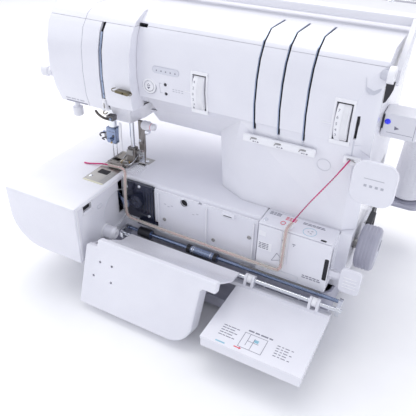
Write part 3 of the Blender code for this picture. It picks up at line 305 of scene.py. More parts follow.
TUBE_METAL = Finish(
    "satin aluminium tube", (0.62, 0.62, 0.65), (0.56, 0.56, 0.6), 0.28, Grain.BRUSHED, 1.0
)
RUBBER = Finish(
    "black rubber",
    (0.02, 0.02, 0.02),
    (0.03, 0.03, 0.03),
    0.8,
    Grain.MATTE,
    edge_wear_and_highlight_colour=(0.12, 0.12, 0.12),
)
TUBE_CREAM = Finish(
    "milky tube", (0.8, 0.78, 0.68), (
        0.72, 0.71, 0.63
    ), 0.2, Grain.POLISHED, coat=0.3, alpha=0.34, edge_wear_and_highlight=0.0
)
CREAM = Finish("cream plastic", (0.72, 0.7, 0.52), (0.66, 0.64, 0.48), 0.4, Grain.MOULDED)
PINK_THREAD = Finish(
    "pink thread", (0.78, 0.045, 0.25), (0.62, 0.03, 0.18), 0.55, Grain.FIBRE, edge_wear_and_highlight=0.0
)
WHITE_THREAD = Finish(
    "white wound thread", (0.8, 0.8, 0.84), (0.72, 0.72, 0.78), 0.75, Grain.FIBRE, edge_wear_and_highlight=0.0
)
BLUE_LIGHT = Finish(
    "blue indicator", (0.02, 0.03, 0.75), (
        0.02, 0.02, 0.6
    ), 0.15, Grain.POLISHED, coat=0.6, edge_wear_and_highlight=0.0, glow=0.35
)
LENS = Finish(
    "pale indicator lens", (0.68, 0.69, 0.76), (0.64, 0.65, 0.73), 0.12, Grain.POLISHED, coat=0.5
)


# ---------------------------------------------------------------- mesh code


def circle(
    centre: Flat, radius: float, sides: int = 24, start: float = 0.0, sweep: float = 360.0
) -> list[Flat]:
    """Place points on a circle or, with a sweep under 360, on an arc with both its ends.

    Args:
        centre: The middle.
        radius: The radius.
        sides: How many steps to take.
        start: Where to begin, in degrees.
        sweep: How far to go, in degrees.

    Returns:
        The points.
    """
    steps = sides if sweep == 360.0 else sides + 1
    turns = [math.radians(start + sweep * i / sides) for i in range(steps)]
    return [(centre[0] + radius * math.cos(a), centre[1] + radius * math.sin(a)) for a in turns]


def rounded(low: Flat, high: Flat, radius: float, sides: int = 5) -> list[Flat]:
    """Outline a rectangle with round corners.

    Args:
        low: The lowest corner.
        high: The highest corner.
        radius: The corners' radius.
        sides: Steps in each corner.

    Returns:
        The outline.
    """
    outline: list[Flat] = []
    for centre, start in (
        ((high[0] - radius, high[1] - radius), 0),
        ((low[0] + radius, high[1] - radius), 90),
        ((low[0] + radius, low[1] + radius), 180),
        ((high[0] - radius, low[1] + radius), 270),
    ):
        outline += circle(centre, radius, sides, start, 90.0)
    return outline


def smooth(places: Sequence[Place], steps: int = 6) -> list[Vector]:
    """Run a smooth curve through the places.

    Args:
        places: Where the curve goes.
        steps: Points between each two places.

    Returns:
        The curve's points.
    """
    points = [Vector(p) for p in places]
    ends = [points[0] * 2 - points[1], *points, points[-1] * 2 - points[-2]]
    route: list[Vector] = []
    for a, b, c, d in zip(ends, ends[1:], ends[2:], ends[3:]):
        for i in range(steps):
            t = i / steps
            bend = (2 * a - 5 * b + 4 * c - d) * t * t + (3 * b - a - 3 * c + d) * t**3
            route.append(0.5 * (2 * b + (c - a) * t + bend))
    route.append(points[-1])
    return route


def coil(start: Place, length: float, radius: float, turns: float, axis: str = "x") -> list[Vector]:
    """Wind a helix.

    Args:
        start: One end of its axis.
        length: Its length along the axis.
        radius: Its radius.
        turns: How many turns it has.
        axis: The axis it runs along.

    Returns:
        The points of the wire's middle.
    """
    points = []
    steps = int(turns * 14)
    for i in range(steps + 1):
        angle = 2 * math.pi * turns * i / steps
        along, a, b = length * i / steps, radius * math.cos(angle), radius * math.sin(angle)
        offset = {"x": (along, a, b), "y": (a, along, b), "z": (a, b, along)}[axis]
        points.append(Vector(start) + Vector(offset))
    return points


@dataclass(frozen=True)
class Profile:
    """A side outline of a casing, from its low front edge up and over, as (y, z) points."""

    points: tuple[Flat, ...]

    def spans(self) -> list[float]:
        """Return the length of the outline up to each of its points."""
        found = [0.0]
        for a, b in zip(self.points, self.points[1:]):
            found.append(found[-1] + math.dist(a, b))
        return found

    def height(self, z: float) -> float:
        """Return how far along the outline a height on its front is."""
        for (a, b), span in zip(zip(self.points, self.points[1:]), self.spans()):
            if a[1] <= z <= b[1] and b[1] > a[1]:
                return span + math.dist(a, b) * (z - a[1]) / (b[1] - a[1])
        return 0.0

    def front(self, z: float) -> float:
        """Return the place of the front face at a height."""
        return self.part(self.height(z), self.height(z) + 0.1)[0][0]

    def part(self, low: float, high: float) -> list[Flat]:
        """Cut out the stretch between two lengths along the outline.

        Args:
            low: Where it starts.
            high: Where it ends.

        Returns:
            The stretch's points.
        """
        spans = self.spans()

        def place(length: float) -> Flat:
            for a, b, near, far in zip(self.points, self.points[1:], spans, spans[1:]):
                if length <= far:
                    share = (length - near) / (far - near)
                    return (a[0] + (b[0] - a[0]) * share, a[1] + (b[1] - a[1]) * share)
            return self.points[-1]

        middle = [p for p, s in zip(self.points, spans) if low < s < high]
        return [place(low), *middle, place(high)]


def offset_line(points: Sequence[Flat], distance: float) -> list[Flat]:
    """Move an open line to its outer side, which is on the left of its course seen with Y to the
    right and Z up.

    Args:
        points: The line.
        distance: How far to move it.

    Returns:
        The moved line.
    """
    moved = []
    for i, here in enumerate(points):
        before, after = Vector(points[max(i - 1, 0)]), Vector(points[min(i + 1, len(points) - 1)])
        along = (after - before).normalized()
        moved.append((here[0] - along.y * distance, here[1] + along.x * distance))
    return moved


AXIS_ORDER: dict[str, Callable[[float, float, float], Place]] = {
    "x": lambda a, b, c: (c, a, b),
    "y": lambda a, b, c: (a, c, b),
    "z": lambda a, b, c: (a, b, c),
}


class Piece:
    """One named piece in the making, in machine millimetres."""

    def __init__(self, name: str) -> None:
        """Start an empty piece under its name."""
        self.name = name
        self.mesh = bmesh.new()

    def rings(self, rings: Sequence[Sequence[Place]], closed: bool = False) -> "Piece":
        """Add a body through rings of equal point count.

        Args:
            rings: The rings in order.
            closed: Whether the last ring joins the first, instead of a cap at each end.

        Returns:
            The piece.
        """
        loops = [[self.mesh.verts.new(at(*corner)) for corner in ring] for ring in rings]
        count = len(loops[0])
        pairs = list(zip(loops, loops[1:])) + ([(loops[-1], loops[0])] if closed else [])
        for near, far in pairs:
            for i in range(count):
                j = (i + 1) % count
                self.mesh.faces.new((near[i], near[j], far[j], far[i]))
        if not closed:
            self.mesh.faces.new(loops[0][::-1])
            self.mesh.faces.new(loops[-1])
        return self

    def prism(self, outline: Sequence[Flat], axis: str, low: float, high: float) -> "Piece":
        """Push an outline along an axis; it holds the two other coordinates in X, Y, Z order.

        Args:
            outline: The outline.
            axis: The axis to push it along.
            low: Where it starts.
            high: Where it ends.

        Returns:
            The piece.
        """
        order = AXIS_ORDER[axis]
        return self.rings([[order(a, b, level) for a, b in outline] for level in (low, high)])

    def block(self, low: Place, high: Place) -> "Piece":
        """Add a box between two corners."""
        outline = [(low[0], low[1]), (high[0], low[1]), (high[0], high[1]), (low[0], high[1])]
        return self.prism(outline, "z", low[2], high[2])

    def turned(self, axis: str, centre: Flat, profile: Sequence[Flat], sides: int = 32) -> "Piece":
        """Add a solid of revolution.

        Args:
            axis: The axis it turns about.
            centre: The axis's two other coordinates.
            profile: (radius, place along the axis) from end to end.
            sides: Steps around.

        Returns:
            The piece.
        """
        order = AXIS_ORDER[axis]
        rings = [[order(a, b, level) for a, b in circle(centre, radius, sides)]
            for radius, level in profile]
        return self.rings(rings)

    def ring(
        self, axis: str, centre: Flat, outer: float, inner: float, low: float, high: float
    ) -> "Piece":
        """Add a flat ring with a hole.

        Args:
            axis: The axis through its middle.
            centre: The axis's two other coordinates.
            outer: The outer radius.
            inner: The hole's radius.
            low: Where it starts along the axis.
            high: Where it ends.

        Returns:
            The piece.
        """
        order = AXIS_ORDER[axis]
        edge = min(0.3, (high - low) / 3, (outer - inner) / 3)
        profile = [
            (inner, low),
            (outer - edge, low),
            (outer, low + edge),
            (outer, high - edge),
            (outer - edge, high),
            (inner, high),
        ]
        rings = [
            [order(a, b, level) for a, b in circle(centre, radius, 36)] for radius, level in profile
        ]
        return self.rings(rings, closed=True)

    def sweep(
        self, route: Sequence[Vector], radius: float, sides: int = 8, lobes: int = 0, twist: float
        = 0.0
    ) -> "Piece":
        """Add a wire or a thread along a route.

        Args:
            route: The points of its middle.
            radius: Its radius.
            sides: Steps around it.
            lobes: How many plies show, with 0 for plain wire.
            twist: How far the plies turn per millimetre, in radians.

        Returns:
            The piece.
        """
        side = Vector((0.0, 1.0, 0.0))
        rings = []
        travelled = 0.0
        for i, here in enumerate(route):
            ahead = (route[min(i + 1, len(route) - 1)] - route[max(i - 1, 0)]).normalized()
            if abs(ahead.dot(side)) > 0.95:
                side = Vector((1.0, 0.0, 0.0))
            side = (side - ahead * side.dot(ahead)).normalized()
            other = ahead.cross(side)
            travelled += (here - route[i - 1]).length if i else 0.0
            ring = []
            for k in range(sides):
                angle = 2 * math.pi * k / sides + twist * travelled
                reach = radius * (
                    1 - 0.22 * (1 - abs(math.cos(lobes * math.pi * k / sides)))
                ) if lobes else radius
                ring.append(
                    tuple(here + reach * (side * math.cos(angle) + other * math.sin(angle)))
                )
            rings.append(ring)
        return self.rings(rings)

    def sweep_pipe(
        self, route: Sequence[Vector], outer: float, inner: float, sides: int
    ) -> "Piece":
        """Add an open pipe along a route.

        Args:
            route: The points of its middle.
            outer: Its outer radius.
            inner: The radius of its bore.
            sides: Steps around it.

        Returns:
            The piece.
        """
        walls = []
        for radius in (outer, inner):
            side = Vector((0.0, 1.0, 0.0))
            rings = []
            for i, here in enumerate(route):
                ahead = (route[min(i + 1, len(route) - 1)] - route[max(i - 1, 0)]).normalized()
                side = (side - ahead * side.dot(ahead)).normalized()
                other = ahead.cross(side)
                turns = [2 * math.pi * k / sides for k in range(sides)]
                rings.append([tuple(here + radius * (side * math.cos(a) + other * math.sin(a)))
                    for a in turns])
            walls.append(rings)
        return self.rings([*walls[0], *walls[1][::-1]], closed=True)

    def ribbon(
        self, profile: Profile, span: Flat, across: Flat, depth: Flat, lift: float = 0.0
    ) -> "Piece":
        """Add a strip that follows a casing's outline.

        Args:
            profile: The outline.
            span: Where it starts and ends along the outline.
            across: Its left and right side.
            depth: Its inner and outer distance from the casing's surface, outwards positive.
            lift: How far the whole strip is shifted along Y.

        Returns:
            The piece.
        """
        line = profile.part(*span)
        outline = offset_line(line, depth[1]) + offset_line(line, depth[0])[::-1]
        return self.prism([(y + lift, z) for y, z in outline], "x", *across)

    def digits(self, text: str, size: float, place: Place, right: Place, up: Place) -> "Piece":
        """Add small raised numbers.

        Args:
            text: The numbers.
            size: Their height.
            place: Their lower left corner.
            right: The way they read.
            up: Their upright.

        Returns:
            The piece.
        """
        curve = bpy.data.curves.new(self.name + "_digits", "FONT")
        curve.body = text
        curve.size = size * 1.35
        curve.resolution_u = 3
        curve.extrude = 0.05
        holder = bpy.data.objects.new(curve.name, curve)
        bpy.context.scene.collection.objects.link(holder)
        graph = bpy.context.evaluated_depsgraph_get()
        flat = bpy.data.meshes.new_from_object(holder.evaluated_get(graph))
        across, upright = Vector(right).normalized(), Vector(up).normalized()
        out = across.cross(upright)
        made = []
        for vert in flat.vertices:
            spot = Vector(place) + across * vert.co.x + upright * vert.co.y + out * vert.co.z
            made.append(self.mesh.verts.new(at(*spot)))
        for polygon in flat.polygons:
            self.mesh.faces.new([made[i] for i in polygon.vertices])
        bpy.data.objects.remove(holder)
        bpy.data.curves.remove(curve)
        bpy.data.meshes.remove(flat)
        return self

    def done(
        self,
        body: str,
        finish: Finish,
        slot: str,
        replaces: Iterable[str] = (),
        bevel: float = 0.15,
        outwards: bool = True,
    ) -> bpy.types.Object:
        """End the piece: an object with its finish, that rides on its body.

        Args:
            body: The body that it moves with.
            finish: Its surface.
            slot: The record's material slot; not used.
            replaces: The plain nodes that it stands for.
            bevel: How much its sharp edges are rounded.
            outwards: Whether its faces are turned outwards first.

        Returns:
            The object.
        """
        if outwards:
            bmesh.ops.recalc_face_normals(self.mesh, faces=self.mesh.faces)
        made = bpy.data.meshes.new(self.name)
        self.mesh.to_mesh(made)
        self.mesh.free()
        shown = bpy.data.objects.new(self.name, made)
        bpy.context.scene.collection.objects.link(shown)
        dress(shown, finish, bevel)
        nodes = tuple(replaces)
        if nodes:
            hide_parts(*nodes)
        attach(shown, body)
        LOG.info("%s: %s on %s, %d faces", self.name, finish.name, body, len(made.polygons))
        return shown


def dress(shown: bpy.types.Object, finish: Finish, bevel: float) -> None:
    """Give a mesh its finish, smooth shading and softly rounded edges.

    Args:
        shown: The object.
        finish: Its surface.
        bevel: The rounding of its sharp edges in millimetres, 0 for none.
    """
    shown.data.materials.clear()
    shown.data.materials.append(finish.material())
    for name in ("custom_normal", "sharp_face", "sharp_edge"):
        old = shown.data.attributes.get(name)
        if old is not None:
            shown.data.attributes.remove(old)
    weld = shown.modifiers.new("weld", "WELD")
    weld.merge_threshold = 2e-6
    if bevel:
        edge = shown.modifiers.new("edge", "BEVEL")
        edge.width = bevel * MM
        edge.segments = 2
        edge.limit_method = "ANGLE"
        edge.angle_limit = math.radians(32)
        edge.use_clamp_overlap = True
        edge.miter_outer = "MITER_ARC"
    shown.data.shade_smooth()
    normals = shown.modifiers.new("normals", "WEIGHTED_NORMAL")
    normals.weight = 60
    normals.keep_sharp = True


# ---------------------------------------------------------------- studio


@dataclass
class Studio:
    """The camera, the floor and the soft lights.

    Attributes:
        place: Where the camera stands, in metres.
        azimuth: How far it has gone round to the right, in degrees.
        elevation: How far it looks down, in degrees.
        roll: How far it leans, in degrees.
        lens: Its focal length on a 36 mm sensor.
    """

    place: Place = (0.22006, -0.47905, 0.43025)
    azimuth: float = 27.24
    elevation: float = 34.02
    roll: float = 1.47
    lens: float = 44.13

    def build(self) -> None:
        """Set up the whole studio."""
        self._camera()
        self._floor()
        self._lights()

    def _camera(self) -> None:
        """Stand the camera where it sees the machine from above on the right."""
        turn, rise, lean = (math.radians(v) for v in (self.azimuth, self.elevation, self.roll))
        right = Vector((math.cos(turn), math.sin(turn), 0.0))
        back = Vector(
            (math.sin(turn) * math.cos(rise), -math.cos(turn) * math.cos(rise), math.sin(rise))
        )
        up = back.cross(right)
        leaning = right * math.cos(lean) + up * math.sin(lean)
        upright = up * math.cos(lean) - right * math.sin(lean)
        data = bpy.data.cameras.new("camera")
        data.lens = self.lens
        data.sensor_width = 36.0
        data.clip_start = 0.01
        camera = bpy.data.objects.new("camera", data)
        pose = Matrix((leaning, upright, back)).transposed().to_4x4()
        pose.translation = Vector(self.place)
        camera.matrix_world = pose
        bpy.context.scene.collection.objects.link(camera)
        bpy.context.scene.camera = camera

    def _floor(self) -> None:
        """Lay the plain pale floor, which rises to a backdrop far behind."""
        bm = bmesh.new()
        low, half, rise = CAD_BOX[0].z - 0.0004, 6.0, 3.0
        rows = [
            (-half, low),
            (half * 0.7, low),
            (half * 0.85, low + 0.15),
            (half * 0.95, low + 0.7),
            (half, low + rise),
        ]
        verts = [[bm.verts.new((x, y, z)) for x in (-half, half)] for y, z in rows]
        for near, far in zip(verts, verts[1:]):
            bm.faces.new((near[0], near[1], far[1], far[0]))
        made = bpy.data.meshes.new("floor")
        bm.to_mesh(made)
        bm.free()
        floor = bpy.data.objects.new("floor", made)
        bpy.context.scene.collection.objects.link(floor)
        paint = Finish(
            "pale floor", (0.93, 0.93, 0.94), (0.91, 0.91, 0.925), 0.85, Grain.MATTE, edge_wear_and_highlight=0.0
        )
        floor.data.materials.append(paint.material())
        floor.data.shade_smooth()

    def _lights(self) -> None:
        """Hang a broad light over the machine, weaker ones beside it, and pale surroundings."""
        self._area("top light", (-0.35, 0.55, 1.5), 1.6, 20.0, (1.0, 0.985, 0.96))
        self._area("left light", (-1.3, -0.7, 0.9), 1.2, 6.0, (0.95, 0.97, 1.0))
        self._area("right light", (1.3, -0.4, 0.7), 1.0, 3.0, (0.9, 0.93, 1.0))
        world = bpy.data.worlds.new("pale surroundings")
        world.use_nodes = True
        sky = world.node_tree.nodes["Background"]
        sky.inputs["Color"].default_value = (0.9, 0.92, 1.0, 1.0)
        sky.inputs["Strength"].default_value = 0.75
        bpy.context.scene.world = world
        bpy.context.scene.view_settings.view_transform = "Standard"

    def _area(self, name: str, place: Place, size: float, power: float, colour: Colour) -> None:
        """Hang one soft square light that faces the machine.

        Args:
            name: Its name.
            place: Where it hangs, in metres.
            size: Its side.
            power: Its power in watts.
            colour: Its colour.
        """
        data = bpy.data.lights.new(name, "AREA")
        data.size = size
        data.energy = power
        data.color = colour
        lamp = bpy.data.objects.new(name, data)
        lamp.location = place
        lamp.rotation_euler = (
            Vector((0.0, 0.0, 0.1)) - Vector(place)
        ).to_track_quat("-Z", "Y").to_euler()
        bpy.context.scene.collection.objects.link(lamp)


# ---------------------------------------------------------------- the plain nodes


@dataclass
class Casework:
    """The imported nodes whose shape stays, each with its finish and the rounding of its edges in
    millimetres."""

    finishes: dict[str, tuple[Finish, float]] = field(
        default_factory=lambda: {
            "bed_casing": (GLOSS_WHITE, 0.35),
            "right_block": (GLOSS_WHITE, 0.35),
            "threading_panel": (GLOSS_WHITE, 0.2),
            "looper_bay_plate": (GLOSS_WHITE, 0.3),
            "face_cover": (GLOSS_WHITE, 0.35),
            "needle_cover": (GLOSS_WHITE, 0.35),
            "front_casing": (GLOSS_WHITE, 0.35),
            "rear_casing": (GLOSS_WHITE, 0.35),
            "top_cover": (GLOSS_WHITE, 0.35),
            "head_lower_shell": (GLOSS_WHITE, 0.3),
            "looper_cover": (GLOSS_WHITE, 0.3),
            "carry_handle": (SATIN_WHITE, 0.3),
            "air_lever": (GLOSS_WHITE, 0.2),
            "selector_lever": (GLOSS_WHITE, 0.2),
            "needle_port_box": (SATIN_WHITE, 0.3),
            "left_sleeve": (RIM_WHITE, 0.2),
            "right_sleeve": (RIM_WHITE, 0.2),
            "triple_thread_guide": (RIM_WHITE, 0.15),
            "looper_thread_guide": (RIM_WHITE, 0.15),
            "foot_lift_button": (RIM_WHITE, 0.15),
            "presser_lifter": (SATIN_WHITE, 0.2),
            "presser_pressure_knob": (SATIN_WHITE, 0.2),
            "cutting_width_knob": (SATIN_WHITE, 0.15),
            "base_tray": (GREY_SHELL, 0.4),
            "hand_wheel": (GREY_SHELL, 0.3),
            "spool_stand": (GREY_SHELL, 0.3),
            "needle_plate": (STEEL, 0.12),
            "presser_foot": (WARM_STEEL, 0.12),
            "needle_clamp": (BLUE_STEEL, 0.15),
            "upper_knife": (WARM_STEEL, 0.12),
            "lower_knife": (STEEL, 0.1),
            "feed_dog": (DARK_STEEL, 0.05),
            "head_thread_guide": (BRONZE, 0.2),
            "main_shaft": (STEEL, 0.2),
            "motor_pulley": (STEEL, 0.2),
            "needle_bar": (CHROME, 0.15),
            "presser_bar": (CHROME, 0.15),
            "left_needle": (CHROME, 0.0),
            "right_needle": (CHROME, 0.0),
            "upper_looper": (BLUE_STEEL, 0.15),
            "lower_looper": (BLUE_STEEL, 0.15),
            "hinge_rod": (CHROME, 0.2),
            "air_coupler": (BLUE_STEEL, 0.2),
            "frame_casting": (CAST_METAL, 0.5),
            "antenna_pole": (TUBE_METAL, 0.15),
            "antenna_rail": (TUBE_METAL, 0.2),
            "looper_drive_housing": (NAVY_PAINT, 0.2),
            "motor": (NAVY_PAINT, 0.4),
            "mains_inlet": (BLACK_PLASTIC, 0.2),
            "power_switch": (BLACK_PLASTIC, 0.2),
            "rubber_foot_1": (RUBBER, 0.3),
            "rubber_foot_2": (RUBBER, 0.3),
            "rubber_foot_3": (RUBBER, 0.3),
            "rubber_foot_4": (RUBBER, 0.3),
            "drive_belt": (RUBBER, 0.1),
            "looper_air_tube": (TUBE_CREAM, 0.0),
            "looper_thread": (PINK_THREAD, 0.0),
            "thread_cone": (WHITE_THREAD, 0.2),
            "stitch_dial": (RIM_WHITE, 0.1),
            "tension_dial": (RIM_WHITE, 0.1),
        }
    )

    def build(self) -> None:
        """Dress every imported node."""
        for name, (finish, bevel) in self.finishes.items():
            dress(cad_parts[name], finish, bevel)
            LOG.info("%s: packed node in %s", name, finish.name)


# ---------------------------------------------------------------- shared sizes

FRONT_TO_TOP = (
    (90.0, 105.0),
    (87.0, 125.0),
    (88.0, 148.0),
    (92.0, 166.0),
    (100.0, 180.0),
    (113.0, 188.0),
    (212.0, 188.0),
)
ARM = Profile(((126.8, 62.0), *FRONT_TO_TOP))
COLUMN = Profile(((108.0, 0.0), *FRONT_TO_TOP))
HEAD = Profile(
    (
        (112.0, 78.0),
        (79.0, 84.0),
        (75.0, 100.0),
        (74.0, 125.0),
        (76.0, 150.0),
        (82.0, 169.0),
        (92.0, 181.0),
        (106.0, 188.0),
        (212.0, 188.0),
    )
)
HINGE = (68.0, -70.0)
COVER_ANGLE = 71.0
COVER_SLIDE = 8.0
WHITE_SLOT = "white_shell"
INK_SLOT = "black_plastic"


def opened(piece: Piece) -> Piece:
    """Carry a piece of the looper cover from shut to folded open.

    Args:
        piece: The piece, made in the shut place.

    Returns:
        The same piece in its open place.
    """
    hinge = at(0.0, *HINGE)
    turn = Matrix.Rotation(math.radians(COVER_ANGLE), 4, "X")
    slide = Matrix.Translation((COVER_SLIDE * MM, 0.0, 0.0))
    piece.mesh.transform(slide @ Matrix.Translation(hinge) @ turn @ Matrix.Translation(-hinge))
    return piece


def bars(
    piece: Piece, low: Flat, high: Flat, rows: int, widths: Sequence[float], plane: str, level: Flat
) -> Piece:
    """Fill a panel with rows of short plain bars, which stand for small print.

    Args:
        piece: The piece to add to.
        low: The panel's lowest corner in its plane.
        high: Its highest corner.
        rows: How many rows.
        widths: The bars' widths in turn, with a gap of a third of a row between them.
        plane: The axis across the panel.
        level: Where the bars start and end along that axis.

    Returns:
        The piece.
    """
    pitch = (high[1] - low[1]) / rows
    gap = pitch * 0.35
    turn = 0
    for row in range(rows):
        x = low[0]
        bottom = high[1] - (row + 0.75) * pitch
        while x + widths[turn % len(widths)] <= high[0]:
            width = widths[turn % len(widths)]
            outline = [
                (x, bottom),
                (x + width, bottom),
                (x + width, bottom + pitch * 0.5),
                (x, bottom + pitch * 0.5),
            ]
            piece.prism(outline, plane, *level)
            x += width + gap
            turn += 1
    return piece


def screw(piece: Piece, axis: str, centre: Flat, radius: float, seat: float, head: float) -> Piece:
    """Add a domed screw head with a round recess sunk in its top.

    Args:
        piece: The piece to add to.
        axis: The screw's axis.
        centre: The axis's two other coordinates.
        radius: The head's radius.
        seat: Where the head starts along the axis.
        head: Where its top is.

    Returns:
        The piece.
    """
    step = (head - seat) / 4
    profile = [
        (radius, seat),
        (radius, seat + 2 * step),
        (radius * 0.86, seat + 3.4 * step),
        (radius * 0.6, head),
        (radius * 0.34, head),
        (radius * 0.3, head - 1.4 * step),
        (radius * 0.05, head - 1.4 * step),
    ]
    return piece.turned(axis, centre, profile, 20)


# ---------------------------------------------------------------- head and arm


@dataclass
class HeadDetails:
    """The face cover's seam and bars, the take-up lever in its slot, and the wire parts under the
    head.

    Attributes:
        seam: Where the face cover is parted.
        slot: The slot's left and right side.
        lever_low: How low the take-up lever reaches.
        lever_high: How high it reaches.
    """

    seam: float = 71.0
    slot: Flat = (92.5, 97.5)
    lever_low: float = 97.0
    lever_high: float = 168.0

    def build(self) -> None:
        """Build all the head's details."""
        top = HEAD.spans()[-2] + 58.0
        seam = Piece("face_seam").ribbon(
            HEAD, (8.0, top), (self.seam, self.seam + 0.45), (-0.1, 0.05)
        )
        seam.ribbon(HEAD, (34.0, 36.0), (39.0, 69.0), (-0.1, 0.03))
        seam.done("frame", SEAM_GREY, WHITE_SLOT, bevel=0)
        low = HEAD.height(88.0)
        mark = Piece("face_bars")
        for near, far in ((39.0, 45.5), (47.0, 53.0), (54.5, 57.5), (59.0, 65.0)):
            mark.ribbon(HEAD, (low, low + 1.5), (near, far), (-0.05, 0.07))
        mark.done("frame", INK_PALE, INK_SLOT, bevel=0)
        # A near black strip behind the take-up lever's slot paints the shade inside the slot.
        shade_liner = Piece("slot_shade_liner")
        shade_liner.ribbon(
            HEAD, (HEAD.height(86.0), top), (self.slot[0] - 4, self.slot[1] + 4), (-4.3, -3.5)
        )
        shade_liner.done("frame", PAINTED_SHADE_INSIDE, INK_SLOT, bevel=0)
        lever = Piece("take_up_lever")
        span = (HEAD.height(self.lever_low), HEAD.height(self.lever_high))
        lever.ribbon(HEAD, span, (self.slot[0] + 1.0, self.slot[0] + 3.4), (-2.4, -0.9))
        for z in (104.0, 118.0, 139.0):
            screw(
                lever, "y", (self.slot[0] + 2.2, z), 1.0, HEAD.front(z) + 1.0, HEAD.front(z) + 0.2
            )
        lever.done("frame", BLUE_STEEL, "steel", bevel=0.2)
        self._clip()
        self._wires()

    def _clip(self) -> None:
        """Build the white clip and its hook at the slot's lower end."""
        clip = Piece("slot_clip")
        clip.prism(
            [(80.0, 83.5), (76.2, 85.0), (73.6, 96.5), (76.0, 99.0), (80.0, 92.0)], "x", 93.0, 96.9
        )
        clip.prism([(79.0, 82.5), (75.2, 84.5), (76.4, 89.0), (79.5, 88.0)], "x", 90.4, 93.2)
        clip.done("frame", RIM_WHITE, "white_matte", bevel=0.5)
        hook = Piece("slot_hook")
        hook.sweep(
            smooth(
                [(90.6, 80.0, 83.0), (91.4, 76.6, 81.2), (94.6, 75.6, 81.0), (96.9, 77.4, 82.6)]
            ),
            0.75,
        )
        hook.sweep(smooth([(95.2, 76.0, 99.0), (95.4, 74.2, 93.0), (94.8, 75.0, 88.0)]), 0.45)
        hook.done("frame", BRONZE, "steel", bevel=0)

    def _wires(self) -> None:
        """Build the dark bracket below the head and the loops of the head's thread guide."""
        bracket = Piece("needle_bar_bracket")
        bracket.sweep(
            smooth(
                [(74.0, 84.5, 77.0), (81.0, 80.5, 75.6), (89.0, 79.4, 73.6), (97.0, 80.4, 73.0)]
            ),
            1.5,
            10,
        )
        bracket.prism([(79.4, 71.8), (87.0, 71.4), (88.0, 77.0), (80.0, 77.4)], "x", 92.0, 101.0)
        bracket.done("frame", DARK_STEEL, "steel", bevel=0.4)
        nut = Piece("bracket_screw")
        screw(nut, "y", (98.0, 74.2), 1.7, 79.6, 78.5)
        nut.done("frame", BLUE_STEEL, "steel", bevel=0.1)
        loops = Piece("head_guide_loops")
        loops.sweep(
            smooth([(117.0, 71.5, 113.6), (112.8, 69.0, 113.0), (110.8, 70.6, 114.6), (113.6, 73.6,
                115.2)]),
            0.55,
        )
        loops.sweep(
            smooth([(130.0, 70.5, 113.0), (134.2, 68.8, 112.2), (135.6, 70.6, 113.6), (132.0, 73.6,
                114.4)]),
            0.5,
        )
        loops.done("frame", BRONZE, "steel", bevel=0)


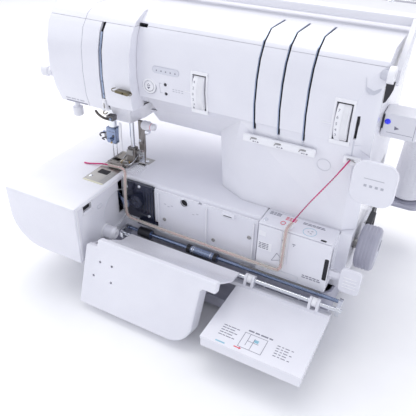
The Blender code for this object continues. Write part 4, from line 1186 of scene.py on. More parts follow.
@dataclass
class ArmFront:
    """The small controls and marks on the arm's front.

    Attributes:
        button: The foot lift button's middle (x, z).
        lights: The two dark lights' middles.
        lens: The long lens's corners.
    """

    button: Flat = (146.2, 119.3)
    lights: tuple[Flat, Flat] = ((166.0, 124.4), (165.8, 114.2))
    lens: tuple[Flat, Flat] = ((151.0, 134.4), (181.6, 141.2))

    def build(self) -> None:
        """Build all the marks and lights."""
        rim = Piece("button_rim").ring("y", self.button, 8.0, 6.0, 86.8, 88.4)
        rim.done("frame", RIM_WHITE, "white_matte", bevel=0.2)
        shade = Piece("button_groove").ring("y", self.button, 8.5, 7.9, 87.4, 88.3)
        shade.done("frame", SEAM_GREY, WHITE_SLOT, bevel=0)
        x, z = self.button
        marks = Piece("button_marks")
        marks.prism([(x - 1.9, z - 0.7), (x + 1.9, z - 0.7), (x, z - 3.2)], "y", 85.88, 86.1)
        for near, far in (((x - 1.9, z + 0.7), (x, z + 3.0)), ((x, z + 3.0), (x + 1.9, z + 0.7))):
            marks.sweep(
                [Vector((near[0], 85.95, near[1])), Vector((far[0], 85.95, far[1]))], 0.22, 6
            )
        marks.sweep([Vector((x - 1.9, 85.95, z + 0.7)), Vector((x + 1.9, 85.95, z + 0.7))], 0.22, 6)
        marks.done("lift_button", INK_GREY, INK_SLOT, bevel=0)
        lamps = Piece("needle_lights")
        for centre in self.lights:
            front = ARM.front(centre[1])
            lamps.turned(
                "y",
                centre,
                [(1.7, front + 1), (1.7, front - 0.3), (1.1, front - 0.8), (0.2, front - 0.95)],
                20,
            )
        lamps.done("frame", BLACK_PLASTIC, INK_SLOT, bevel=0)
        self._lines()
        self._lens()

    def _lines(self) -> None:
        """Draw the bracket, the small bars and the dials' index lines."""
        lines = Piece("front_lines")
        for z in (114.0, 124.6):
            lines.ribbon(ARM, (ARM.height(z), ARM.height(z) + 0.5), (158.6, 161.4), (-0.05, 0.06))
        lines.ribbon(ARM, (ARM.height(114.0), ARM.height(125.1)), (158.6, 159.1), (-0.05, 0.06))
        for near in (174.0, 177.4, 180.8, 184.2):
            for z in (118.4, 120.6):
                lines.ribbon(
                    ARM, (ARM.height(z), ARM.height(z) + 0.8), (near, near + 2.2), (-0.05, 0.06)
                )
        lines.done("frame", INK_PALE, INK_SLOT, bevel=0)
        index = Piece("dial_index_lines")
        for near, far, z in ((188.6, 195.2, 121.6), (330.4, 338.2, 121.8)):
            index.ribbon(
                COLUMN, (COLUMN.height(z), COLUMN.height(z) + 0.9), (near, far), (-0.2, 0.35)
            )
        index.done("frame", RIM_WHITE, WHITE_SLOT, bevel=0.1)

    def _lens(self) -> None:
        """Build the long pale lens with its row of dots."""
        low, high = self.lens
        front = ARM.front(138.0)
        lens = Piece("indicator_lens").prism(rounded(low, high, 3.3), "y", front - 0.7, front + 1.4)
        lens.done("frame", LENS, WHITE_SLOT, bevel=0.4)
        rim = Piece("indicator_rim")
        outer = rounded((low[0] - 0.8, low[1] - 0.8), (high[0] + 0.8, high[1] + 0.8), 4.1)
        rim.prism(outer, "y", front - 0.1, front + 1.2)
        rim.done("frame", BAND_GREY, WHITE_SLOT, bevel=0.3)
        dots = Piece("indicator_dots")
        for i in range(5):
            dots.turned(
                "y",
                (156.0 + 5.4 * i, 137.6),
                [(0.75, front), (0.75, front - 0.78), (0.3, front - 0.9)],
                14,
            )
        dots.done("frame", INK_GREY, INK_SLOT, bevel=0)


@dataclass
class Dial:
    """A numbered dial with a ribbed rim, and the white frame of its pocket.

    Attributes:
        node: The plain dial that it stands for.
        body: The body that turns.
        middle: The dial's middle (x, z).
        axle: How far back its axle is.
        radius: Its radius.
        numbers: The numbers on its rim, from the top.
    """

    node: str
    body: str
    middle: Flat
    numbers: tuple[str, ...]
    axle: float = 107.8
    radius: float = 26.0
    half: float = 6.0
    ribs: int = 110
    rib_depth: float = 0.5

    def build(self) -> None:
        """Build the dial, its numbers and its pocket."""
        self._wheel()
        self._numbers()
        self._pocket()

    def _wheel(self) -> None:
        """Build the rim, smooth on the left for the numbers and ribbed on the right."""
        x, z = self.middle
        wheel = Piece(f"{self.node}_wheel")
        rings = []
        stations = (
            (-6.0, -1.0, 0),
            (-5.3, 0.0, 0),
            (-0.4, 0.0, 0),
            (0.0, -0.5, 0),
            (0.3, 0.0, 1),
            (5.2, 0.0, 1),
            (6.0, -1.0, 0),
        )
        for place, sink, ribbed in stations:
            ring = []
            for k in range(2 * self.ribs):
                angle = math.pi * k / self.ribs
                reach = self.radius + sink - (self.rib_depth * (k % 2) if ribbed else 0.0)
                ring.append(
                    (x + place, self.axle + reach * math.cos(angle), z + reach * math.sin(angle))
                )
            rings.append(ring)
        wheel.rings(rings)
        wheel.done(self.body, RIM_WHITE, "white_matte", (self.node,), bevel=0)

    def _numbers(self) -> None:
        """Put the numbers round the rim."""
        x, z = self.middle
        count = len(self.numbers)
        piece = Piece(f"{self.node}_numbers")
        for i, text in enumerate(self.numbers):
            angle = math.radians(26.0 - 52.0 * i / (count - 1))
            reach = self.radius + 0.02
            up = (0.0, math.sin(angle), math.cos(angle))
            spot = Vector(
                (x - 4.7, self.axle - reach * math.cos(angle), z + reach * math.sin(angle))
            ) - Vector(up) * 1.4
            piece.digits(text, 2.9, tuple(spot), (1.0, 0.0, 0.0), up)
        piece.done(self.body, INK_GREY, INK_SLOT, bevel=0, outwards=False)

    def _pocket(self) -> None:
        """Build the raised white frame, and the painted shade in the gaps below and above the dial."""
        x, z = self.middle
        frame_piece = Piece(f"{self.node}_pocket")
        low, high = COLUMN.height(z - 20.0), COLUMN.height(z + 20.0)
        for near, far in ((x - 9.4, x - 7.5), (x + 7.5, x + 9.4)):
            frame_piece.ribbon(COLUMN, (low, high), (near, far), (-0.4, 0.6))
        frame_piece.ribbon(COLUMN, (high - 2.2, high + 1.2), (x - 9.4, x + 9.4), (-0.4, 0.8))
        frame_piece.ribbon(COLUMN, (low - 2.6, low + 1.7), (x - 9.4, x + 9.4), (-0.4, 1.0))
        frame_piece.done("frame", RIM_WHITE, "white_matte", bevel=0.35)
        # Near black strips below and above the dial paint the shade in the gaps round it.
        gap = Piece(f"{self.node}_gap")
        gap.ribbon(COLUMN, (low + 1.6, low + 3.0), (x - 7.3, x + 7.3), (-0.3, 0.1))
        gap.ribbon(COLUMN, (high - 3.4, high - 2.1), (x - 7.3, x + 7.3), (-0.3, 0.1))
        gap.done("frame", PAINTED_SHADE_INSIDE, INK_SLOT, bevel=0)


@dataclass
class Dials:
    """The stitch dial and the tension dial."""

    stitch: Dial = field(
        default_factory=lambda: Dial(
            "stitch_dial", "stitch_dial_wheel", (204.6, 123.5), ("4", "2", "0", "2", "4")
        )
    )
    tension: Dial = field(
        default_factory=lambda: Dial(
            "tension_dial", "tension_dial_wheel", (347.6, 125.5), ("7", "6", "5", "4", "3")
        )
    )

    def build(self) -> None:
        """Build both dials."""
        self.stitch.build()
        self.tension.build()


@dataclass
class ThreadPaths:
    """The painted shade and the tension discs in the thread slits, and the wire clips of the guides
    below them.

    Attributes:
        slits: The slits' middles.
        bottom: How low they reach.
        back: How far back they run over the top.
    """

    slits: tuple[float, ...] = (264.0, 289.0, 314.0)
    bottom: float = 97.0
    back: float = 37.0

    def build(self) -> None:
        """Build the painted shade and the discs inside the slits, and the guides' clips."""
        end = COLUMN.spans()[-2] + self.back
        span = (COLUMN.height(self.bottom - 1.0), end)
        # Near black liners behind the three slits and a fourth slot further right paint the shade
        # inside them.
        shade_liner, blades, tails = Piece("slit_shade_liners"), Piece("tension_discs"), Piece("slit_tails")
        for x in self.slits:
            shade_liner.ribbon(COLUMN, span, (x - 3.4, x + 3.4), (-4.4, -3.5))
            blades.ribbon(
                COLUMN, (COLUMN.height(self.bottom + 0.4), end), (x - 1.15, x - 0.15), (-2.2, 0.12)
            )
            tails.ribbon(
                COLUMN, (COLUMN.height(91.6), COLUMN.height(97.2)), (x - 1.1, x + 0.5), (-0.1, 0.14)
            )
        low = COLUMN.height(109.0)
        shade_liner.ribbon(COLUMN, (low, COLUMN.height(135.0)), (356.6, 361.9), (-4.4, -3.5))
        shade_liner.done("frame", PAINTED_SHADE_INSIDE, INK_SLOT, bevel=0)
        blades.done("frame", BLUE_STEEL, "steel", bevel=0.1)
        tails.ribbon(
            COLUMN, (COLUMN.height(93.6), COLUMN.height(110.0)), (359.6, 361.0), (-0.1, 0.12)
        )
        tails.done("frame", BAND_GREY, "steel", bevel=0.05)
        self._clips()
        self._emboss()

    def _clips(self) -> None:
        """Build the wire clips on both guides."""
        clips = Piece("guide_clips")
        level = 108.0 - 18.0 * 86.0 / 105.0 - 5.6
        for x in self.slits:
            clips.sweep(
                smooth(
                    [
                        (x + 5.4, level + 0.9, 89.0),
                        (x + 3.2, level - 0.1, 89.9),
                        (x - 0.4, level - 0.2, 89.2),
                        (x - 1.8, level + 0.1, 87.0),
                    ]
                ),
                0.45,
            )
        clips.sweep(
            smooth(
                [(366.0, level + 0.6, 89.6), (362.0, level - 0.6, 91.4), (358.6, level - 0.4, 92.6)]
            ),
            0.5,
        )
        clips.done("frame", STEEL, "steel", bevel=0)
        marks = Piece("guide_marks")
        for x in self.slits:
            for i, width in enumerate((1.2, 0.8, 1.6)):
                near = x + 1.0 + 2.2 * i
                marks.block((near, level - 0.02, 85.6), (near + width, level + 0.2, 86.8))
        marks.done("frame", INK_GREY, INK_SLOT, bevel=0)

    def _emboss(self) -> None:
        """Build the faint round mark on the column's front."""
        # The grey ring paints the shade round the edge of a faint embossed ring.
        faint = Piece("column_ring")
        loop = [
            Vector((336.0 + 6.6 * math.cos(a), 108.0 - 18.0 * (76.0 + 6.6 * math.sin(a)) / 105.0,
                76.0 + 6.6 * math.sin(a)))
            for a in (2 * math.pi * i / 40 for i in range(41))
        ]
        faint.sweep(loop, 0.16, 6)
        faint.done("frame", BAND_GREY, WHITE_SLOT, bevel=0)


@dataclass
class RightShoulder:
    """The parts at the arm's right end: the pivot ring, the corner cover, whose grey paints the shade
    of a concave corner, and the port box's light.

    Attributes:
        pivot: The ring's middle (y, z).
    """

    pivot: Flat = (100.0, 169.6)

    def build(self) -> None:
        """Build the shoulder's parts."""
        ring = Piece("handle_ring").ring("x", self.pivot, 7.4, 3.4, 375.6, 381.0)
        ring.done("frame", RIM_WHITE, "white_matte", bevel=0.4)
        boss = Piece("handle_ring_boss")
        boss.turned(
            "x",
            self.pivot,
            [(5.0, 370.0), (5.0, 376.4), (3.3, 376.5), (3.3, 379.6), (2.6, 380.2)],
            24,
        )
        boss.done("frame", BAND_GREY, WHITE_SLOT, bevel=0.2)
        # A black piece paints the shade in the gap below the handle's ring.
        dark = Piece("shoulder_gap")
        outline = [
            (375.2, 164.0),
            (382.2, 163.6),
            (381.8, 157.0),
            (380.0, 151.0),
            (377.6, 145.6),
            (375.6, 144.0),
        ]
        dark.prism(outline, "y", 100.5, 103.5)
        dark.done("frame", BLACK_PLASTIC, INK_SLOT, bevel=0.4)
        # The corner cover is grey to paint the shade of the concave corner that it fills.
        cover = Piece("corner_cover")
        outline = [
            (359.6, 187.0),
            (374.4, 187.0),
            (374.4, 160.0),
            (372.0, 154.4),
            (368.4, 152.2),
            (364.6, 153.4),
        ]
        outline += [(361.4, 158.0), (359.8, 166.0)]
        rings = []
        for lift in (-0.9, 0.6):
            rings.append(
                [(x, ARM.front(z) + max(0.0, x - 362.0) * 10 / 13 + lift, z) for x, z in outline]
            )
        cover.rings(rings)
        cover.done("frame", BAND_GREY, "grey_shell", bevel=0.5)
        self._box()

    def _box(self) -> None:
        """Build the port box's indicator, its black end and its arrow."""
        light = Piece("port_light")
        light.turned(
            "y", (380.2, 118.8), [(2.7, 127.0), (2.7, 125.6), (1.8, 124.8), (0.4, 124.5)], 24
        )
        light.done("frame", BLUE_LIGHT, INK_SLOT, bevel=0)
        end = Piece("port_box_end").block((375.35, 125.3, 111.5), (377.0, 126.4, 125.5))
        end.done("frame", BLACK_PLASTIC, INK_SLOT, bevel=0.2)
        arrow = Piece("port_box_arrow").prism(
            [(387.4, 111.8), (391.4, 113.6), (387.0, 115.6)], "y", 125.9, 126.2
        )
        arrow.done("frame", INK_GREY, INK_SLOT, bevel=0)
        lines = Piece("port_box_lines").block((381.0, 125.92, 108.4), (404.0, 126.1, 108.8))
        lines.block((404.8, 125.92, 105.0), (405.2, 126.1, 125.0))
        lines.done("frame", SEAM_GREY, WHITE_SLOT, bevel=0)


# ---------------------------------------------------------------- needle area and bed


@dataclass
class NeedleArea:
    """The clamp's screws and hooks, the foot's small parts, the knife's cranked holder and the
    width knob.

    Attributes:
        needle: The needle bar's axis (x, y).
        clamp_low: The clamp's bottom; not used.
        clamp_high: The clamp's top; not used.
        knob: The width knob's axis (y, z).
    """

    needle: Flat = (76.6, 109.7)
    clamp_low: float = 27.8
    clamp_high: float = 48.5
    knob: Flat = (116.8, 56.6)

    def build(self) -> None:
        """Build the moving details, then the foot's and the bed's."""
        self._clamp()
        self._foot()
        self._knife()
        self._bed()

    def _clamp(self) -> None:
        """Build the collar, the grub screws and the hooks on the needle clamp."""
        x, y = self.needle
        collar = Piece("needle_bar_collar")
        collar.turned(
            "z",
            self.needle,
            [(4.6, 48.6), (5.2, 49.2), (5.2, 56.0), (4.8, 56.8), (4.8, 71.0), (4.2, 72.4)],
            28,
        )
        collar.done("needle_carriage", CHROME, "chrome", bevel=0.2)
        hooks = Piece("needle_hooks")
        hooks.sweep(
            smooth(
                [(69.6, 106.0, 40.0), (64.0, 104.0, 39.6), (60.4, 103.4, 37.0), (61.8, 103.8, 34.4)]
            ),
            0.95,
            10,
        )
        hooks.sweep(
            smooth(
                [(69.4, 105.6, 34.6), (66.0, 103.6, 33.6), (63.4, 103.2, 32.0), (66.4, 104.4, 30.6)]
            ),
            0.75,
            10,
        )
        hooks.prism([(69.4, 31.0), (66.2, 33.0), (66.0, 40.0), (69.4, 42.0)], "y", 104.6, 108.0)
        hooks.done("needle_carriage", DARK_STEEL, "steel", bevel=0.2)
        screws = Piece("needle_grub_screws")
        for side, z in ((-3.2, 33.4), (3.4, 38.6)):
            screw(screws, "y", (x + side, z), 1.55, y - 5.9, y - 6.9)
        screws.block((x - 5.6, y - 6.14, 43.4), (x + 5.2, y - 5.8, 43.9))
        screws.done("needle_carriage", DARK_STEEL, "dark_metal", bevel=0.1)
        brass = Piece("clamp_brass_insert")
        brass.prism(rounded((x - 1.1, 28.4), (x + 1.3, 31.2), 0.6, 3), "y", y - 6.4, y - 5.8)
        brass.done("needle_carriage", BRASS, "steel", bevel=0.15)

    def _foot(self) -> None:
        """Build the foot's spring, the white strip that paints a highlight along its guide, the painted
        shade in its slot and gap, and small brass and steel parts.
        """
        # A bright white strip on the steel foot paints the highlight along its guide.
        strip = Piece("foot_guide_highlight_strip").prism(
            [(103.6, 22.0), (102.8, 40.0), (104.4, 58.0), (105.6, 58.0), (104.4, 22.0)],
            "x",
            89.0,
            92.4,
        )
        strip.done("presser", RIM_WHITE, "chrome", bevel=0.2)
        spring = Piece("foot_spring")
        spring.sweep(
            smooth(
                [(88.6, 124.6, 17.0), (86.8, 121.0, 11.0), (86.0, 114.0, 7.0), (86.2, 106.0, 5.0)]
            ),
            0.6,
        )
        spring.sweep(
            smooth(
                [(101.2, 121.0, 10.0), (101.6, 112.0, 7.0), (99.4, 105.6, 4.6), (94.0, 103.4, 4.8)]
            ),
            0.5,
        )
        spring.done("presser", CHROME, "chrome", bevel=0)
        bits = Piece("foot_brass_bits")
        bits.prism(rounded((84.8, 106.4), (89.0, 111.2), 1.0, 3), "z", 3.9, 5.6)
        bits.prism(rounded((91.4, 105.4), (94.2, 108.2), 0.8, 3), "z", 3.9, 6.3)
        screw(bits, "z", (95.6, 110.0), 1.5, 3.9, 5.4)
        bits.done("presser", BRASS, "steel", bevel=0.2)
        block = Piece("foot_steel_bits")
        block.prism(
            [(104.6, 4.0), (108.8, 4.0), (108.8, 5.2), (107.4, 7.4), (105.0, 7.4)], "x", 89.4, 96.8
        )
        block.prism([(112.0, 13.6), (113.8, 14.2), (114.4, 20.0), (112.8, 20.0)], "x", 91.4, 100.0)
        screw(block, "x", (120.0, 16.0), 2.7, 103.3, 104.6)
        for x in (71.2, 72.4):
            block.block((x, 103.2, 4.0), (x + 0.6, 129.0, 4.45))
        block.done("presser", STEEL, "steel", bevel=0.2)
        # Near black blocks paint the shade in the foot's slot and gap.
        dark = Piece("foot_dark_gaps")
        dark.block((86.6, 111.6, 3.98), (90.2, 113.4, 4.16))
        dark.block((82.8, 103.4, 3.98), (83.3, 128.6, 4.12))
        dark.done("presser", PAINTED_SHADE_INSIDE, "dark_metal", bevel=0)

    def _knife(self) -> None:
        """Build the cranked holder above the knife, and the width knob's grip."""
        arm = Piece("knife_holder_arm")
        outline = [
            (104.6, 28.6),
            (109.6, 28.0),
            (118.6, 51.6),
            (121.8, 52.6),
            (122.4, 60.0),
            (115.0, 60.6),
            (113.2, 54.6),
        ]
        arm.prism(outline, "y", 119.4, 121.3)
        arm.done("knife", WARM_STEEL, "steel", bevel=0.35)
        nuts = Piece("knife_screws")
        screw(nuts, "y", (107.6, 33.4), 1.9, 121.3, 118.4)
        screw(nuts, "y", (118.4, 55.8), 1.7, 119.5, 118.3)
        nuts.done("knife", CHROME, "chrome", bevel=0.1)
        lip = Piece("knife_edge_lip").prism(
            [(120.2, 3.0), (121.1, 3.0), (121.4, 20.0), (120.6, 20.0)], "x", 104.6, 111.6
        )
        lip.done("knife", CHROME, "chrome", bevel=0.1)
        y, z = self.knob
        grip = Piece("width_knob_ribs")
        for k in range(20):
            angle = 2 * math.pi * k / 20
            middle = (y + 5.0 * math.cos(angle), z + 5.0 * math.sin(angle))
            grip.turned(
                "x", middle, [(0.35, 115.8), (0.42, 116.2), (0.42, 123.4), (0.35, 123.8)], 6
            )
        grip.done("width_knob", SATIN_WHITE, "white_matte", bevel=0)
        cap = Piece("width_knob_cap").turned(
            "x", self.knob, [(4.0, 130.9), (3.9, 131.4), (2.4, 131.9), (0.5, 132.0)], 28
        )
        cap.done("width_knob", RIM_WHITE, "white_matte", bevel=0.1)
        mark = Piece("width_knob_mark").ring("x", self.knob, 4.28, 4.0, 126.4, 127.0)
        mark.done("width_knob", INK_RED, INK_SLOT, bevel=0)
        knob = Piece("knife_lever_knob").turned(
            "y",
            (121.8, 49.6),
            [(2.1, 118.8), (3.0, 118.0), (3.0, 113.4), (2.2, 112.4), (0.8, 112.2)],
            26,
        )
        knob.done("knife", CHROME, "chrome", bevel=0.15)

    def _bed(self) -> None:
        """Build the ridges, the screws, the small plates and the painted shade in the needle plate's
        opening, round the foot.
        """
        ridges = Piece("bed_ridges")
        for i in range(6):
            x = 103.4 + 2.8 * i
            front = 96.0 if i < 5 else 99.0
            ridges.prism(
                [(x, -0.1), (x + 1.3, -0.1), (x + 1.0, 0.75), (x + 0.3, 0.75)], "y", front, 116.4
            )
        ridges.done("frame", RIM_WHITE, "white_matte", bevel=0.1)
        screws = Piece("plate_screws")
        for centre, radius in (((70.2, 67.6), 2.5), ((109.2, 130.0), 2.7), ((69.8, 132.0), 2.2)):
            screw(screws, "z", centre, radius, -0.1, 0.8)
        screws.done("frame", CHROME, "chrome", bevel=0.1)
        strip = Piece("plate_front_strip").prism(
            rounded((67.0, 56.6), (95.2, 58.9), 0.9, 3), "z", -0.4, 0.7
        )
        strip.done("frame", CREAM, "white_matte", bevel=0.2)
        # A near black plate paints the shade inside the needle plate's opening.
        gap = Piece("plate_opening").prism(
            rounded((71.4, 77.6), (86.0, 87.4), 1.4, 3), "z", -0.2, 0.06
        )
        gap.done("frame", PAINTED_SHADE_INSIDE, INK_SLOT, bevel=0)
        lines = Piece("plate_lines")
        for x in (72.4, 78.2):
            lines.block((x, 88.8, -0.1), (x + 0.5, 97.0, 0.08))
        for i in range(9):
            y = 60.6 + 1.7 * i
            lines.block((90.4, y, -0.1), (91.4 + (1.2 if i % 4 == 0 else 0.0), y + 0.25, 0.06))
        lines.block((88.0, 60.0, -0.1), (88.3, 97.0, 0.06))
        lines.done("frame", INK_GREY, INK_SLOT, bevel=0)
        finger = Piece("stitch_finger").prism(
            [(90.2, 97.0), (93.6, 97.0), (93.6, 112.0), (92.8, 118.0), (91.4, 118.0)],
            "z",
            -0.2,
            0.9,
        )
        finger.done("frame", CHROME, "chrome", bevel=0.25)


# ---------------------------------------------------------------- looper bay


@dataclass
class LooperBay:
    """The drive housing's knob and screw, the springs and rods along the cover's hinge, and the
    catch."""

    coupler: Flat = (79.0, -67.8)
    springs: tuple[Flat, ...] = ((78.2, -76.2), (73.6, -77.0))

    def build(self) -> None:
        """Build the bay's details."""
        self._housing()
        self._coupler()
        self._back()
        self._loopers()

    def _housing(self) -> None:
        """Build what sits on the dark housing."""
        knob = Piece("housing_knob")
        profile = [
            (7.7, 79.2),
            (7.5, 78.2),
            (6.4, 77.6),
            (5.6, 77.6),
            (5.4, 78.4),
            (2.3, 78.4),
            (2.1, 77.4),
            (1.0, 77.2),
        ]
        knob.turned("y", (124.0, -27.0), profile, 36)
        knob.done("frame", NAVY_PAINT, "dark_metal", bevel=0.15)
        grip = Piece("housing_knob_ribs")
        for k in range(30):
            angle = 2 * math.pi * k / 30
            middle = (124.0 + 7.9 * math.cos(angle), -27.0 + 7.9 * math.sin(angle))
            grip.turned("y", middle, [(0.3, 86.0), (0.42, 85.4), (0.42, 80.6), (0.3, 80.1)], 6)
        grip.done("frame", NAVY_PAINT, "dark_metal", bevel=0)
        screws = Piece("housing_screws")
        screw(screws, "y", (127.0, -7.4), 2.2, 85.3, 83.8)
        screw(screws, "y", (139.4, -46.0), 2.2, 85.3, 83.9)
        screw(screws, "y", (109.6, -12.0), 1.7, 85.3, 84.2)
        screws.done("frame", CHROME, "chrome", bevel=0.1)
        ribs = Piece("housing_ribs")
        for x in (132.6, 136.8, 141.0):
            ribs.block((x, 84.4, -42.0), (x + 1.0, 85.4, -12.0))
        ribs.prism([(112.0, -5.0), (120.0, -5.0), (117.0, -14.0), (112.0, -16.0)], "y", 83.6, 85.4)
        ribs.done("frame", NAVY_PAINT, "dark_metal", bevel=0.25)

    def _coupler(self) -> None:
        """Build the cap, the ends, the springs and the dark rod beside the hinge."""
        caps = Piece("coupler_cap")
        caps.ring("x", self.coupler, 5.9, 5.3, 128.2, 145.3)
        for place in (196.6, 231.4):
            caps.ring("x", self.coupler, 5.2, 4.5, place, place + 5.0)
        caps.done("frame", BLACK_PLASTIC, "black_plastic", bevel=0.2)
        grooves = Piece("coupler_grooves")
        for place in (203.4, 205.4, 227.6):
            grooves.ring("x", self.coupler, 4.85, 4.5, place, place + 0.8)
        grooves.done("frame", CHROME, "chrome", bevel=0)
        springs = Piece("hinge_springs")
        springs.sweep(coil((198.5, *self.springs[0]), 28.0, 2.3, 13.0), 0.42, 6)
        springs.sweep(coil((132.0, *self.springs[0]), 18.0, 2.1, 8.0), 0.4, 6)
        springs.sweep(
            [Vector((130.0, *self.springs[0])), Vector((246.0, *self.springs[0]))], 0.9, 8
        )
        springs.done("frame", DARK_STEEL, "dark_metal", bevel=0)
        rod = Piece("upper_dark_rod")
        rod.sweep([Vector((266.0, 74.2, -60.4)), Vector((360.0, 74.2, -60.4))], 1.1, 10)
        rod.done("frame", DARK_STEEL, "dark_metal", bevel=0)
        clips = Piece("hinge_clips")
        for place in (120.0, 250.6, 300.4, 340.2, 372.6):
            clips.ring("x", (68.0, -70.0), 3.6, 2.4, place, place + 1.2)
        clips.done("frame", CHROME, "chrome", bevel=0.1)

    def _back(self) -> None:
        """Build the bore's rim with the painted shade inside it, the painted shade in the catch's slot,
        and the screws of the bay's back.
        """
        rim = Piece("bore_rim").ring("y", (187.5, -11.6), 5.4, 4.4, 86.1, 87.2)
        rim.done("frame", CHROME, "chrome", bevel=0.1)
        # A near black disc paints the shade inside the bore.
        dark = Piece("bore_inside").turned(
            "y", (187.5, -11.6), [(4.4, 89.2), (4.4, 88.4), (0.5, 88.3)], 24
        )
        dark.done("frame", PAINTED_SHADE_INSIDE, INK_SLOT, bevel=0)
        # A near black block paints the shade in the catch's slot.
        slot = Piece("catch_slot").block((239.2, 83.6, -9.3), (248.9, 84.9, -8.1))
        slot.done("frame", PAINTED_SHADE_INSIDE, INK_SLOT, bevel=0)
        screws = Piece("bay_screws")
        for centre in ((160.0, -44.0), (226.0, -50.0), (270.0, -30.0)):
            screw(screws, "y", centre, 2.3, 87.0, 85.7)
        screws.done("frame", STEEL, "steel", bevel=0.1)
        lines = Piece("bay_thread_marks")
        for i, finish_x in enumerate((160.0, 164.6, 169.2, 198.0, 203.0)):
            lines.block(
                (finish_x, 86.66, -22.0 - 2.0 * (i % 2)),
                (finish_x + 3.0, 86.82, -21.2 - 2.0 * (i % 2)),
            )
        lines.done("frame", INK_PALE, INK_SLOT, bevel=0)
        ribs = Piece("bay_back_ribs")
        for x in (152.0, 216.0, 274.0):
            ribs.block((x, 84.8, -62.0), (x + 1.8, 86.9, -9.0))
        ribs.done("frame", SATIN_WHITE, WHITE_SLOT, bevel=0.3)

    def _loopers(self) -> None:
        """Build the eyes and the hub screws of both loopers."""
        for name, body, hub, eye, back, front in (
            ("upper_looper", "upper_looper_arm", (110.0, -33.0), (90.4, -11.0), 83.9, 79.0),
            ("lower_looper", "lower_looper_arm", (86.0, -56.0), (78.2, -25.4), 106.3, 101.6),
        ):
            nut = Piece(f"{name}_screw")
            screw(nut, "y", hub, 3.2, back - 4.2, front)
            nut.done(body, CHROME, "chrome", bevel=0.15)
            ring = Piece(f"{name}_eye").ring("y", eye, 1.1, 0.55, back - 3.6, back - 3.1)
            ring.done(body, CHROME, "chrome", bevel=0)


# ---------------------------------------------------------------- left block


@dataclass
class LeftBlock:
    """The rim, the latch and the boss details on the inner side of the left block."""

    side: float = 101.0

    def build(self) -> None:
        """Build the left block's details."""
        rim = Piece("block_side_rim")
        outline = [(2.6, -1.6), (80.0, -1.6), (80.0, -4.0), (5.4, -4.0), (5.4, -70.6), (2.6, -71.0)]
        rim.prism(outline, "x", self.side - 0.2, self.side + 0.5)
        rim.prism(
            [(5.4, -70.6), (88.0, -70.6), (88.0, -72.6), (5.4, -72.6)],
            "x",
            self.side - 0.2,
            self.side + 0.5,
        )
        rim.done("frame", RIM_WHITE, WHITE_SLOT, bevel=0.25)
        # A near black plate inside the latch's frame paints the shade in the latch's hole.
        latch = Piece("latch_hole_shade").prism(
            rounded((13.6, -13.4), (28.4, -3.6), 2.0, 4), "x", 97.0, 97.8
        )
        latch.done("frame", PAINTED_SHADE_INSIDE, INK_SLOT, bevel=0)
        frame_piece = Piece("latch_frame")
        for low, high in (
            ((12.6, -14.6), (29.4, -13.0)),
            ((12.6, -4.0), (29.4, -2.8)),
            ((12.4, -14.6), (14.0, -2.8)),
            ((28.0, -14.6), (29.6, -2.8)),
        ):
            frame_piece.prism(rounded(low, high, 0.5, 2), "x", self.side - 0.4, self.side + 0.7)
        frame_piece.done("frame", SATIN_WHITE, WHITE_SLOT, bevel=0.2)
        # Grey lines round a small oval and along the big round recess; the big arc paints the shade at
        # that recess's rim.
        oval = Piece("block_oval")
        loop = [
            Vector((self.side + 0.1, 41.8 + 4.2 * math.cos(a), -18.6 + 2.4 * math.sin(a)))
            for a in (math.tau * i / 28 for i in range(29))
        ]
        oval.sweep(loop, 0.45, 6)
        big = [
            Vector((self.side + 0.05, 72.0 + 24.6 * math.cos(a), -40.0 + 24.6 * math.sin(a)))
            for a in (math.radians(-88 + 5 * i) for i in range(53))
            if 72.0 + 24.6 * math.cos(a) < 88
        ]
        for start in range(0, len(big) - 1):
            if (big[start + 1] - big[start]).length < 6:
                oval.sweep(big[start : start + 2], 0.5, 6)
        oval.done("frame", BAND_GREY, WHITE_SLOT, bevel=0)
        cap = Piece("boss_cap")
        cap.turned(
            "x",
            (48.0, -57.0),
            [(5.4, 115.7), (5.0, 116.5), (2.6, 116.6), (2.4, 115.9), (0.5, 115.8)],
            28,
        )
        cap.ring("x", (48.0, -57.0), 9.2, 7.9, self.side - 0.2, self.side + 1.2)
        cap.done("frame", RIM_WHITE, WHITE_SLOT, bevel=0.2)


# ---------------------------------------------------------------- right block and panel


